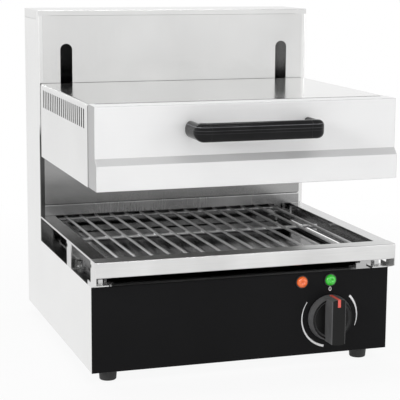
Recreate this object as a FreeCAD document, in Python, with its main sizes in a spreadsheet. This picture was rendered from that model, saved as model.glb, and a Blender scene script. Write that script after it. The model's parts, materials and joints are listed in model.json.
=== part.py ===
import FreeCAD, Part
import math
import os
import Sketcher
from types import SimpleNamespace

# Countertop cheese melter: a low base with a black control panel, a full width
# column at the back, and a heated hood that rides up and down on the column.
# X runs to the right, Y to the back, Z up. The origin is the middle of the
# bounding box, on the table.

# Driving dimensions in millimetres, by the piece that carries them
SIZES = {
    "body_width": 450.0,
    "body_depth": 460.0,
    "body_height": 507.0,
    "sheet": 1.5,
    "overrun": 5.0,
    "seat_gap": 0.3,
    "bore_play": 0.05,
    "foot_height": 19.0,
    "foot_top_radius": 13.5,
    "foot_bottom_radius": 12.0,
    "foot_edge_radius": 2.0,
    "foot_side_inset": 31.0,
    "foot_end_inset": 32.0,
    "foot_recess_radius": 6.5,
    "foot_recess_depth": 6.0,
    "deck_height": 142.0,
    "panel_setback": 22.0,
    "panel_flange": 8.0,
    "plate_flange": 12.0,
    "edge_radius": 1.0,
    "column_depth": 107.0,
    "column_bend_radius": 2.0,
    "cheek_width": 19.0,
    "rear_flange": 12.0,
    "cap_skirt_drop": 14.0,
    "cap_skirt_run": 87.0,
    "cap_lip_drop": 8.0,
    "face_inset": 7.0,
    "splash_height": 17.0,
    "face_corner_radius": 4.0,
    "slot_inset": 44.0,
    "slot_width": 19.2,
    "slot_top_drop": 52.0,
    "slot_sill": 83.0,
    "slot_end_play": 7.0,
    "slot_head_play": 3.0,
    "strip_sheet": 1.0,
    "recess_rise": 0.4,
    "recess_depth": 38.0,
    "rack_rise": 39.6,
    "rack_flange": 22.5,
    "rack_fold": 6.0,
    "rack_wall_drop": 14.0,
    "rack_ledge": 22.5,
    "rack_hem_width": 5.0,
    "rack_hem_height": 3.5,
    "rack_hem_radius": 1.6,
    "rack_rear_run": 34.0,
    "leg_width": 27.0,
    "leg_setback": 144.0,
    "leg_notch": 5.0,
    "leg_notch_rise": 28.0,
    "leg_tab_reach": 23.0,
    "bar_height": 22.6,
    "bar_flange": 26.0,
    "bar_lower_lip": 10.0,
    "bar_edge_radius": 2.0,
    "bar_foot_width": 25.0,
    "bar_foot_front": 1.0,
    "bar_foot_run": 21.0,
    "bar_toe_rise": 7.0,
    "bolt_inset": 15.0,
    "bolt_radius": 2.5,
    "bolt_head_across": 11.0,
    "bolt_head_height": 6.5,
    "bolt_washer_radius": 6.0,
    "bolt_washer_sheet": 1.0,
    "bolt_grip": 9.0,
    "front_bolt_setback": 36.0,
    "grid_wire_radius": 2.0,
    "grid_rod_radius": 2.5,
    "grid_side_gap": 10.5,
    "grid_wire_inset": 13.5,
    "grid_front_setback": 46.0,
    "grid_rear_run": 79.0,
    "grid_wire_overhang": 6.0,
    "grid_weld_sink": 0.4,
    "tray_side_gap": 12.5,
    "tray_rear_run": 86.0,
    "tray_setback": 61.0,
    "tray_lift": 6.0,
    "tray_height": 10.5,
    "tray_wall": 1.0,
    "tray_corner_radius": 8.0,
    "tray_foot_radius": 3.0,
    "tray_play": 0.3,
    "tray_side_play": 2.0,
    "runner_guide": 5.0,
    "runner_flange": 8.0,
    "runner_ledge": 10.0,
    "runner_rear_run": 110.0,
    "runner_setback": 65.0,
    "hood_gap": 4.0,
    "hood_side_inset": 1.5,
    "hood_height": 115.0,
    "hood_bend_radius": 4.0,
    "hood_flange": 12.0,
    "vent_width": 5.5,
    "vent_height": 27.0,
    "vent_top_gap": 8.5,
    "vent_end": 20.0,
    "vent_start": 18.0,
    "fascia_side_inset": 2.0,
    "fascia_upper_reach": 34.0,
    "fascia_lip_reach": 43.0,
    "fascia_step_top": 44.0,
    "fascia_step_bottom": 35.0,
    "fascia_edge_radius": 1.4,
    "fascia_vent_gap": 4.0,
    "fascia_vent_depth": 6.0,
    "fascia_back_lip": 9.0,
    "reflector_sheet": 1.0,
    "reflector_height": 45.0,
    "reflector_side_gap": 15.0,
    "reflector_end_gap": 10.0,
    "reflector_slope": 10.0,
    "element_radius": 4.0,
    "element_turn_inset": 48.5,
    "element_drop": 24.0,
    "element_rear_gap": 31.0,
    "element_front_gap": 30.0,
    "support_inset": 133.5,
    "support_foot": 7.0,
    "pad_height": 33.0,
    "pad_side_gap": 22.0,
    "pad_end_gap": 14.0,
    "terminal_end_gap": 23.0,
    "terminal_height": 22.0,
    "terminal_depth": 8.0,
    "terminal_lift": 20.0,
    "arm_sheet": 5.0,
    "arm_height": 28.0,
    "arm_reach": 150.0,
    "arm_tab": 15.0,
    "arm_tab_sheet": 3.0,
    "arm_tab_start": 20.0,
    "carriage_gap": 5.5,
    "carriage_sheet": 4.0,
    "carriage_height": 56.0,
    "carriage_inset": 17.0,
    "housing_width": 30.0,
    "housing_depth": 31.0,
    "bush_radius": 10.0,
    "bush_length": 24.0,
    "guide_inset": 75.0,
    "guide_radius": 6.0,
    "guide_run": 78.0,
    "lug_width": 16.0,
    "lug_depth": 10.0,
    "lug_height": 18.0,
    "lug_drop": 13.0,
    "sleeve_tab_width": 16.0,
    "sleeve_tab_run": 42.0,
    "sleeve_tab_sheet": 3.0,
    "sleeve_radius": 5.0,
    "sleeve_inset": 17.0,
    "sleeve_run": 62.0,
    "sleeve_bore": 3.0,
    "grommet_radius": 10.0,
    "grommet_lip": 1.5,
    "grommet_height": 5.0,
    "beam_sheet": 3.0,
    "beam_front_run": 100.0,
    "beam_rear_run": 20.0,
    "beam_lip": 9.0,
    "top_beam_drop": 5.0,
    "hanger_sheet": 2.0,
    "hanger_width": 24.0,
    "hanger_play": 1.0,
    "hanger_foot": 8.0,
    "pulley_inset": 165.0,
    "pulley_radius": 24.0,
    "pulley_rim": 3.0,
    "pulley_width": 8.0,
    "pulley_run": 66.0,
    "pulley_drop": 39.0,
    "axle_radius": 4.0,
    "axle_head": 3.0,
    "cable_radius": 1.0,
    "weight_side_gap": 75.0,
    "weight_depth": 40.0,
    "weight_height": 95.0,
    "weight_floor_gap": 15.5,
    "weight_edge_radius": 3.0,
    "weight_lug_radius": 6.0,
    "weight_lug_height": 10.0,
    "weight_guide_inset": 105.0,
    "weight_guide_radius": 4.0,
    "handle_width": 190.0,
    "handle_height": 26.0,
    "handle_drop": 47.5,
    "handle_thickness": 14.0,
    "handle_outer_radius": 16.0,
    "handle_inner_radius": 6.0,
    "handle_edge_radius": 6.0,
    "handle_reach": 42.0,
    "handle_screw_radius": 2.5,
    "handle_screw_head": 5.0,
    "handle_screw_head_height": 3.0,
    "handle_screw_length": 16.0,
    "knob_inset": 92.5,
    "knob_drop": 69.0,
    "knob_radius": 34.0,
    "knob_skirt": 12.0,
    "knob_skirt_edge": 3.0,
    "knob_bevel": 3.0,
    "knob_dish": 2.5,
    "knob_rim": 2.5,
    "knob_reach": 34.0,
    "knob_gap": 0.5,
    "knob_grip_width": 22.0,
    "knob_grip_radius": 2.0,
    "knob_grip_inset": 0.3,
    "pointer_width": 4.4,
    "pointer_depth": 0.6,
    "pointer_proud": 0.4,
    "pointer_drop": 11.0,
    "pointer_start": 3.0,
    "spindle_radius": 3.0,
    "spindle_tip": 18.0,
    "regulator_size": 46.0,
    "regulator_depth": 36.0,
    "regulator_neck_radius": 7.0,
    "regulator_neck": 6.0,
    "regulator_tab": 9.0,
    "regulator_tab_sheet": 1.2,
    "dial_radius": 43.5,
    "dial_thick": 3.4,
    "dial_thin": 0.8,
    "dial_print": 0.25,
    "zero_rise": 42.6,
    "zero_height": 6.4,
    "zero_width": 4.4,
    "zero_stroke": 1.0,
    "lamp_inset": 137.2,
    "lamp_drop": 13.0,
    "lens_radius": 8.2,
    "lens_dome": 5.0,
    "lens_rim": 1.2,
    "bezel_radius": 9.4,
    "bezel_height": 1.6,
    "holder_radius": 6.0,
    "holder_length": 26.0,
    "holder_nut": 8.5,
    "holder_nut_height": 3.0,
    "gland_inset": 75.0,
    "gland_rise": 43.0,
    "gland_reach": 14.0,
    "gland_radius": 11.0,
    "gland_bore": 4.5,
    "gland_neck_radius": 8.0,
    "gland_neck": 9.0,
    "gland_nut_sheet": 5.0,
    "gland_taper": 3.0,
    "block_width": 62.0,
    "block_depth": 28.0,
    "block_height": 22.0,
    "block_run": 70.0,
    "block_groove": 4.0,
    "louvre_width": 70.0,
    "louvre_height": 4.0,
    "louvre_pitch": 12.0,
    "louvre_inset": 125.0,
    "louvre_rise": 31.0,
    "louvre_drop": 107.0,
    "plate_vent_width": 120.0,
    "plate_vent_height": 5.0,
    "plate_vent_pitch": 18.0,
    "cover_screw_inset": 8.0,
    "cover_screw_radius": 3.6,
    "cover_screw_head": 2.0,
    "cover_screw_rise": 21.0,
    "cover_screw_drop": 27.0,
}

# Counts, and two shares: of its travel where the hood rests, of its height that rounds the handle's end
HOOD_REST_SHARE = 75 / 135
HANDLE_END_SHARE = 12 / 26
LONG_WIRES = 15
CROSS_RODS = 3
SIDE_VENTS = 22
LOUVRES = 6
PLATE_VENTS = 5
COVER_SCREW_ROWS = 6
ELEMENT_RUNS = 4
DIAL_FIRST_DEGREES = (46, 111)
DIAL_SECOND_DEGREES = (305, 191)
SIDES = (("left", -1), ("right", 1))

doc = FreeCAD.newDocument("cheese_melter")
sheet_object = doc.addObject("Spreadsheet::Sheet", "sizes")
for row, (alias, number) in enumerate(SIZES.items(), start=1):
    sheet_object.set(f"A{row}", alias)
    sheet_object.set(f"B{row}", str(number))
    sheet_object.setAlias(f"B{row}", alias)
doc.recompute()


class Size:
    """A length that knows its number and the sheet expression that gives it."""

    def __init__(self, text, number):
        self.text = text
        self.number = number

    @staticmethod
    def of(other):
        return other if isinstance(other, Size) else Size(repr(other), float(other))

    def joined(self, sign, other, number):
        return Size(f"({self.text} {sign} {other.text})", number)

    def __add__(self, other):
        other = Size.of(other)
        return self.joined("+", other, self.number + other.number)

    def __sub__(self, other):
        other = Size.of(other)
        return self.joined("-", other, self.number - other.number)

    def __mul__(self, other):
        other = Size.of(other)
        return self.joined("*", other, self.number * other.number)

    def __truediv__(self, other):
        other = Size.of(other)
        return self.joined("/", other, self.number / other.number)

    def __radd__(self, other):
        return Size.of(other) + self

    def __rsub__(self, other):
        return Size.of(other) - self

    def __rmul__(self, other):
        return Size.of(other) * self

    def __neg__(self):
        return 0 - self

    def __float__(self):
        return self.number


D = SimpleNamespace(**{alias: Size(f"sizes.{alias}", number) for alias, number in SIZES.items()})
pieces = {}
counter = {}

# Stations that many pieces share
half = D.body_width / 2
rear = (D.body_depth + D.handle_reach - D.gland_reach) / 2
lip = rear - D.body_depth
panel_face = lip + D.panel_setback
panel_back = panel_face + D.sheet
cover_face = rear - D.sheet
inner_rear = rear - 2 * D.sheet
column_face = rear - D.column_depth
cheek_face = column_face + D.sheet
cheek_back = cheek_face + D.sheet
cheek_edge = half - D.cheek_width
wall_edge = half - D.sheet
deck_top = D.deck_height
deck_under = D.deck_height - D.sheet
cap_under = D.body_height - D.sheet
rack_height = deck_top + D.rack_rise
recess_height = rack_height + D.recess_rise
face_bottom = recess_height + D.splash_height
slot_top = D.body_height - D.slot_top_drop
slot_bottom = face_bottom + D.slot_sill
hood_travel = slot_top - slot_bottom - D.slot_head_play - D.slot_end_play - D.arm_height
hood_drop = hood_travel * HOOD_REST_SHARE
hood_rise = hood_travel - hood_drop
hood_rear = column_face - D.hood_gap
hood_front = lip + D.fascia_lip_reach
hood_length = hood_rear - hood_front
hood_half = half - D.hood_side_inset
arm_side = half - D.slot_inset
arm_bottom = slot_bottom + D.slot_end_play + hood_drop
arm_top = arm_bottom + D.arm_height
hood_ceiling = arm_top
hood_top = hood_ceiling + D.sheet
hood_bottom = hood_top - D.hood_height
carriage_front = cheek_face + D.carriage_gap
carriage_back = carriage_front + D.carriage_sheet
carriage_bottom = arm_top - D.carriage_height
pulley_height = D.body_height - D.pulley_drop
pulley_line = rear - D.pulley_run
front_cable_line = pulley_line - D.pulley_radius
rear_cable_line = pulley_line + D.pulley_radius
lug_top = arm_top - D.lug_drop
beam_floor = recess_height + D.sheet
weight_bottom = beam_floor + D.beam_sheet + hood_rise + D.weight_floor_gap
weight_top = weight_bottom + D.weight_height
weight_lug_top = weight_top + D.weight_lug_height
beam_ceiling = cap_under - D.top_beam_drop
guide_line = rear - D.guide_run
rack_inner = half - D.rack_flange
rack_under = rack_height - D.sheet
leg_front = lip + D.leg_setback
leg_back = leg_front + D.leg_width
front_bolt_line = lip + D.front_bolt_setback
grid_half = rack_inner - D.grid_side_gap
outer_wire = grid_half - D.grid_wire_inset
rear_rod = rear - D.grid_rear_run
front_rod = lip + D.grid_front_setback
tray_half = rack_inner - D.tray_side_gap
tray_floor = deck_top + D.tray_lift
guide_side = half - D.guide_inset
weight_guide_side = half - D.weight_guide_inset
pulley_side = half - D.pulley_inset
sleeve_side = half - D.sleeve_inset
gland_side = half - D.gland_inset
gland_height = D.foot_height + D.gland_rise
knob_side = half - D.knob_inset
knob_height = deck_top - D.knob_drop
lamp_height = deck_top - D.lamp_drop
ledge_top = rack_under - D.rack_wall_drop + D.sheet
rod_height = ledge_top + D.grid_rod_radius
wire_height = rod_height + D.grid_rod_radius + D.grid_wire_radius - D.grid_weld_sink
bar_bottom = rack_height - D.bar_height
bar_back = lip + D.bar_flange


def unique(name):
    counter[name] = counter.get(name, 0) + 1
    return f"{name}_{counter[name]}"


def bind(thing, prop, size):
    thing.setExpression(prop, Size.of(size).text)


def place(thing, spot):
    for axis, size in zip("xyz", spot):
        bind(thing, f"Placement.Base.{axis}", size)


def block(name, size, corner):
    """A box of three sizes with its low corner at a spot."""
    thing = doc.addObject("Part::Box", unique(name))
    for prop, value in zip(("Length", "Width", "Height"), size):
        bind(thing, prop, value)
    place(thing, corner)
    return thing


def span(name, x, y, z):
    """A box between two stations on each axis."""
    return block(name, (x[1] - x[0], y[1] - y[0], z[1] - z[0]), (x[0], y[0], z[0]))


def wedge(name, x, y, floors, ceiling):
    """A block whose floor slopes from its front to its back."""
    thing = doc.addObject("Part::Wedge", unique(name))
    for prop, value in (("Xmax", x[1]), ("X2max", x[1]), ("Xmin", x[0]), ("X2min", x[0]),
                        ("Ymax", y[1]), ("Ymin", y[0]), ("Zmax", ceiling), ("Z2max", ceiling),
                        ("Zmin", floors[0]), ("Z2min", floors[1])):
        bind(thing, prop, value)
    return thing


AXIS_TURN = {
    "x": FreeCAD.Rotation(FreeCAD.Vector(0, 1, 0), 90),
    "y": FreeCAD.Rotation(FreeCAD.Vector(1, 0, 0), -90),
    "z": FreeCAD.Rotation(),
}


def cylinder(name, radius, length, start, axis="z"):
    """A round bar that runs from its start along +X, +Y or +Z."""
    thing = doc.addObject("Part::Cylinder", unique(name))
    bind(thing, "Radius", radius)
    bind(thing, "Height", length)
    thing.Placement = FreeCAD.Placement(FreeCAD.Vector(), AXIS_TURN[axis])
    place(thing, start)
    return thing


def cone(name, radius, far_radius, length, start, axis="z"):
    """A tapered bar that runs from its start along +X, +Y or +Z."""
    thing = doc.addObject("Part::Cone", unique(name))
    bind(thing, "Radius1", radius)
    bind(thing, "Radius2", far_radius)
    bind(thing, "Height", length)
    thing.Placement = FreeCAD.Placement(FreeCAD.Vector(), AXIS_TURN[axis])
    place(thing, start)
    return thing


def prism(name, across, length, start):
    """A hexagonal bar along +Z, given across its flats."""
    thing = doc.addObject("Part::Prism", unique(name))
    thing.Polygon = 6
    bind(thing, "Circumradius", across / math.sqrt(3))
    bind(thing, "Height", length)
    place(thing, start)
    return thing


def fuse(name, parts):
    thing = doc.addObject("Part::MultiFuse", unique(name))
    thing.Shapes = parts
    thing.Refine = True
    return thing


def group(name, parts):
    thing = doc.addObject("Part::Compound", unique(name))
    thing.Links = parts
    return thing


def cut(name, base, tools):
    thing = doc.addObject("Part::Cut", unique(name))
    thing.Base = base
    thing.Tool = tools[0] if len(tools) == 1 else group(f"{name}_tools", tools)
    thing.Refine = True
    return thing


def common(name, parts):
    thing = doc.addObject("Part::MultiCommon", unique(name))
    thing.Shapes = parts
    return thing


def middle(edge):
    return edge.valueAt((edge.FirstParameter + edge.LastParameter) / 2)


def near(value, size):
    return abs(value - float(size)) < 0.01


def runs_along(edge, axis):
    """True for a straight edge that runs along one axis."""
    if edge.Curve.TypeId != "Part::GeomLine":
        return False
    turn = edge.Curve.Direction
    return abs(getattr(turn, axis)) > 0.999


def creased(shape, edge):
    """True where the two faces beside an edge meet at an angle."""
    spot = middle(edge)
    turns = []
    for side in shape.ancestorsOfType(edge, Part.Face):
        u, v = side.Surface.parameter(spot)
        turns.append(side.normalAt(u, v))
    return len(turns) == 2 and turns[0].dot(turns[1]) < 0.98


def rounded(name, base, radius, wanted):
    """Rounds the edges for which the test says yes."""
    doc.recompute()
    chosen = [i for i, edge in enumerate(base.Shape.Edges, start=1) if wanted(edge)]
    thing = doc.addObject("Part::Fillet", unique(name))
    thing.Base = base
    thing.Edges = [(i, float(radius), float(radius)) for i in chosen]
    if not chosen:
        raise ValueError(f"{name}: no edge to round")
    return thing


def keep(label, thing):
    """Names a finished piece."""
    thing.Label = label
    pieces[label] = thing
    return thing


def fixed(label, shape):
    """A piece whose outline no primitive or sketch gives."""
    thing = doc.addObject("Part::Feature", unique(label))
    thing.Shape = shape
    return keep(label, thing)


def mirrored_span(name, sign, x, y, z):
    """A box given for the right side, laid on the left or the right."""
    low, high = (x[0], x[1]) if sign > 0 else (-x[1], -x[0])
    return span(name, (low, high), y, z)


def new_body(label):
    return keep(label, doc.addObject("PartDesign::Body", unique(label)))


def new_sketch(body, role, offset):
    """A sketch on one of the body's own origin planes, moved along its normal."""
    sketch = body.newObject("Sketcher::SketchObject", unique("sketch"))
    plane = next(item for item in body.Origin.OriginFeatures if item.Role == role)
    sketch.AttachmentSupport = [(plane, "")]
    sketch.MapMode = "FlatFace"
    bind(sketch, "AttachmentOffset.Base.z", offset)
    return sketch


def pin_point(sketch, line, spot):
    """Ties the start of a line to its place from the sketch origin."""
    for kind, size in zip(("DistanceX", "DistanceY"), spot):
        index = sketch.addConstraint(Sketcher.Constraint(kind, -1, 1, line, 1, float(size)))
        sketch.setExpression(f"Constraints[{index}]", Size.of(size).text)


def outline(sketch, spots):
    """A closed outline of straight lines through the spots."""
    ends = [FreeCAD.Vector(float(a), float(b), 0) for a, b in spots]
    lines = [
        sketch.addGeometry(Part.LineSegment(ends[i], ends[(i + 1) % len(ends)]), False)
        for i in range(len(ends))
    ]
    for i, line in enumerate(lines):
        following = lines[(i + 1) % len(lines)]
        sketch.addConstraint(Sketcher.Constraint("Coincident", line, 2, following, 1))
    for line, spot in zip(lines, spots):
        pin_point(sketch, line, spot)


def pad(body, sketch, length, reversed_way=False):
    feature = body.newObject("PartDesign::Pad", unique("pad"))
    feature.Profile = sketch
    bind(feature, "Length", length)
    feature.Reversed = reversed_way
    doc.recompute()
    return feature


def pocket(body, sketch, length, reversed_way=False):
    """A straight cut that must take something away."""
    before = body.Shape.Volume
    feature = body.newObject("PartDesign::Pocket", unique("pocket"))
    feature.Profile = sketch
    bind(feature, "Length", length)
    feature.Reversed = reversed_way
    doc.recompute()
    if feature.Shape.Volume > before * (1 - 1e-6):
        raise ValueError(f"{body.Label}: the pocket cuts nothing")
    return feature


def revolve(body, sketch, axis_name):
    """Turns an outline once round the sketch's own axis."""
    feature = body.newObject("PartDesign::Revolution", unique("turn"))
    feature.Profile = sketch
    feature.ReferenceAxis = (sketch, [axis_name])
    feature.Angle = 360
    doc.recompute()
    return feature


def round_body(body, radius, wanted):
    """Rounds edges of the body's last feature."""
    doc.recompute()
    last = body.Tip
    names = [f"Edge{i}" for i, edge in enumerate(last.Shape.Edges, start=1) if wanted(edge)]
    if not names:
        raise ValueError(f"{body.Label}: no edge to round")
    feature = body.newObject("PartDesign::Fillet", unique("round"))
    feature.Base = (last, names)
    bind(feature, "Radius", radius)
    doc.recompute()
    return feature


def make_side_panels():
    """One L-shaped sheet on each side, with cheeks beside the column face."""
    for name, sign in SIDES:
        label = f"side_panel_{name}"
        corner = fuse(label, [
            mirrored_span(label, sign, (wall_edge, half), (cheek_face, cover_face),
                          (deck_top, cap_under)),
            mirrored_span(label, sign, (cheek_edge, half), (cheek_face, cheek_back),
                          (deck_top, cap_under)),
        ])
        corner = rounded(label, corner, D.column_bend_radius,
                         lambda e: runs_along(e, "z") and near(abs(middle(e).x), half)
                         and near(middle(e).y, cheek_face))
        walls = [
            corner,
            mirrored_span(label, sign, (wall_edge, half), (panel_back, cover_face),
                          (D.foot_height, deck_top)),
            mirrored_span(label, sign, (half - D.rear_flange, half), (inner_rear, cover_face),
                          (D.foot_height, cap_under)),
        ]
        notch = mirrored_span(label, sign, (wall_edge, half),
                              (rear - D.cap_skirt_run - D.seat_gap, rear),
                              (D.body_height - D.cap_skirt_drop - D.seat_gap, D.body_height))
        keep(label, cut(label, fuse(label, walls), [notch]))


def make_base():
    """Bottom plate, deck and the black panel that close the base."""
    flange_top = D.foot_height + D.plate_flange
    plate = [span("base_plate", (-wall_edge, wall_edge), (panel_back, inner_rear),
                  (D.foot_height, D.foot_height + D.sheet))]
    for name, sign in SIDES:
        plate.append(mirrored_span("base_plate", sign, (wall_edge - D.sheet, wall_edge),
                                   (panel_back, inner_rear), (D.foot_height, flange_top)))
    vents = []
    for i in range(PLATE_VENTS):
        y = panel_back + (D.body_depth - D.panel_setback) / 2 + D.plate_vent_pitch * (i - PLATE_VENTS // 2)
        vents.append(span("plate_vent", (-D.plate_vent_width / 2, D.plate_vent_width / 2),
                          (y, y + D.plate_vent_height), (0, D.deck_height / 2)))
    holes = [cylinder("foot_hole", D.bolt_radius + D.bore_play, D.deck_height / 2, (x, y, 0))
             for x, y in foot_spots()]
    keep("base_plate", cut("base_plate", fuse("base_plate", plate), vents + holes))

    deck = span("base_deck", (-wall_edge, wall_edge), (panel_back, inner_rear), (deck_under, deck_top))
    holes = [cylinder("bolt_hole", D.bolt_radius + D.bore_play, 2 * D.overrun,
                      (x, y, deck_under - D.overrun)) for x, y in bolt_spots()]
    holes.append(cylinder("grommet_hole", D.grommet_radius - D.grommet_lip, 2 * D.overrun,
                          (sleeve_side, rear - D.sleeve_run, deck_under - D.overrun)))
    keep("base_deck", cut("base_deck", deck, holes))

    face = span("front_panel", (-half, half), (panel_face, panel_back), (D.foot_height, deck_top))
    upper = span("front_panel", (-wall_edge, wall_edge), (panel_back, panel_back + D.panel_flange),
                 (deck_under - D.sheet, deck_under))
    lower = span("front_panel", (-wall_edge + D.sheet, wall_edge - D.sheet),
                 (panel_back, panel_back + D.panel_flange),
                 (D.foot_height + D.sheet, D.foot_height + 2 * D.sheet))
    holes = [cylinder("panel_hole", D.regulator_neck_radius, 2 * D.overrun,
                      (knob_side, panel_face - D.overrun, knob_height), "y")]
    for x in ((half - D.lamp_inset), knob_side):
        holes.append(cylinder("panel_hole", D.holder_radius + D.bore_play, 2 * D.overrun,
                              (x, panel_face - D.overrun, lamp_height), "y"))
    panel = cut("front_panel", fuse("front_panel", [face, upper, lower]), holes)
    keep("front_panel", rounded("front_panel", panel, D.edge_radius,
                                lambda e: near(middle(e).y, panel_face) and
                                (runs_along(e, "x") or runs_along(e, "z"))))


def foot_spots():
    """The four feet, as X and Y."""
    front = panel_face + D.foot_end_inset
    back = rear - D.foot_end_inset
    side = half - D.foot_side_inset
    return [(x, y) for y in (front, back) for x in (-side, side)]


def bolt_spots():
    """The four bolts that hold the rack to the deck, as X and Y."""
    mid = (leg_front + leg_back) / 2
    side = half - D.bolt_inset
    return [(x, y) for y in (front_bolt_line, mid) for x in (-side, side)]


def make_feet():
    """Tapered rubber feet, each held by a screw in its recess."""
    feet = []
    screws = []
    for x, y in foot_spots():
        foot = cone("foot", D.foot_bottom_radius, D.foot_top_radius, D.foot_height, (x, y, 0))
        bore = cylinder("foot_bore", D.bolt_radius + D.bore_play, D.foot_height + D.overrun, (x, y, 0))
        recess = cylinder("foot_recess", D.foot_recess_radius, D.foot_recess_depth, (x, y, 0))
        hollow = cut("foot", foot, [fuse("foot_core", [bore, recess])])
        feet.append(rounded("foot", hollow, D.foot_edge_radius,
                            lambda e: near(middle(e).z, 0) and e.Curve.TypeId == "Part::GeomCircle"
                            and near(e.Curve.Radius, D.foot_bottom_radius)))
        head = cylinder("foot_screw", D.foot_recess_radius - 2 * D.seat_gap, D.foot_recess_depth / 2,
                        (x, y, D.foot_recess_depth / 2))
        shank = cylinder("foot_screw", D.bolt_radius, D.foot_height - D.foot_recess_depth / 2,
                         (x, y, D.foot_recess_depth))
        screws.append(fuse("foot_screw", [head, shank]))
    keep("feet", group("feet", feet))
    keep("foot_screws", group("foot_screws", screws))


def make_rear_cover():
    """One sheet over the whole back, with louvres low and high and the inlet hole."""
    cover = span("rear_cover", (-half, half), (cover_face, rear), (D.foot_height, cap_under))
    tools = []
    louvre_side = half - D.louvre_inset
    for low in (D.foot_height + D.louvre_rise, D.body_height - D.louvre_drop):
        for side in (-louvre_side, louvre_side):
            for i in range(LOUVRES):
                z = low + D.louvre_pitch * i
                tools.append(span("louvre", (side - D.louvre_width / 2, side + D.louvre_width / 2),
                                  (cover_face - D.overrun, rear + D.overrun), (z, z + D.louvre_height)))
    inlet = cylinder("inlet_hole", D.gland_neck_radius + D.bore_play, 2 * D.overrun,
                     (-gland_side, cover_face - D.overrun, gland_height), "y")
    keep("rear_cover", cut("rear_cover", cover, tools + [inlet]))
    screws = []
    lowest = D.foot_height + D.cover_screw_rise
    step = (D.body_height - D.cover_screw_drop - lowest) / (COVER_SCREW_ROWS - 1)
    for name, sign in SIDES:
        for i in range(COVER_SCREW_ROWS):
            x = sign * (half - D.cover_screw_inset)
            z = lowest + step * i
            screws.append(cone("cover_screw", D.cover_screw_radius, D.cover_screw_radius / 2,
                               D.cover_screw_head, (x, rear, z), "y"))
    keep("cover_screws", group("cover_screws", screws))


def make_column():
    """Cap, slotted face, lower strip and the recess that the rack reaches into."""
    top = span("column_cover", (-half, half), (column_face, rear), (cap_under, D.body_height))
    brim = span("column_cover", (-half, half), (column_face, cheek_face),
                (D.body_height - D.cap_lip_drop, cap_under))
    skirts = [mirrored_span("column_cover", sign, (wall_edge, half), (rear - D.cap_skirt_run, cover_face),
                            (D.body_height - D.cap_skirt_drop, cap_under)) for name, sign in SIDES]
    cap = fuse("column_cover", [top, brim] + skirts)
    keep("column_cover", rounded("column_cover", cap, D.edge_radius,
                                 lambda e: near(middle(e).z, D.body_height)))

    face_half = half - D.face_inset
    face_top = D.body_height - D.cap_lip_drop - D.seat_gap
    face = span("column_face", (-face_half, face_half), (column_face, cheek_face), (face_bottom, face_top))
    tools = []
    for name, sign in SIDES:
        x = sign * arm_side
        y = (column_face - D.overrun, cheek_face + D.overrun)
        low = slot_bottom + D.slot_width / 2
        high = slot_top - D.slot_width / 2
        tools.append(fuse("column_slot", [
            span("column_slot", (x - D.slot_width / 2, x + D.slot_width / 2), y, (low, high)),
            cylinder("column_slot", D.slot_width / 2, y[1] - y[0], (x, y[0], low), "y"),
            cylinder("column_slot", D.slot_width / 2, y[1] - y[0], (x, y[0], high), "y"),
        ]))
    slotted = cut("column_face", face, tools)
    cornered = rounded("column_face", slotted, D.face_corner_radius,
                       lambda e: runs_along(e, "y") and near(abs(middle(e).x), face_half)
                       and near(middle(e).z, face_bottom))
    keep("column_front_panel", cornered)

    keep("splash_strip", span("splash_strip", (-face_half, face_half),
                              (cheek_face - D.strip_sheet, cheek_face),
                              (recess_height, face_bottom - D.seat_gap)))

    back = cheek_face + D.recess_depth
    box = span("recess_liner", (-cheek_edge, cheek_edge), (cheek_face, back), (deck_top, beam_floor))
    room = span("recess_liner", (-cheek_edge + D.sheet, cheek_edge - D.sheet),
                (cheek_face - D.overrun, back - D.sheet), (deck_top - D.overrun, recess_height))
    keep("recess_liner", cut("recess_liner", box, [room]))


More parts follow.
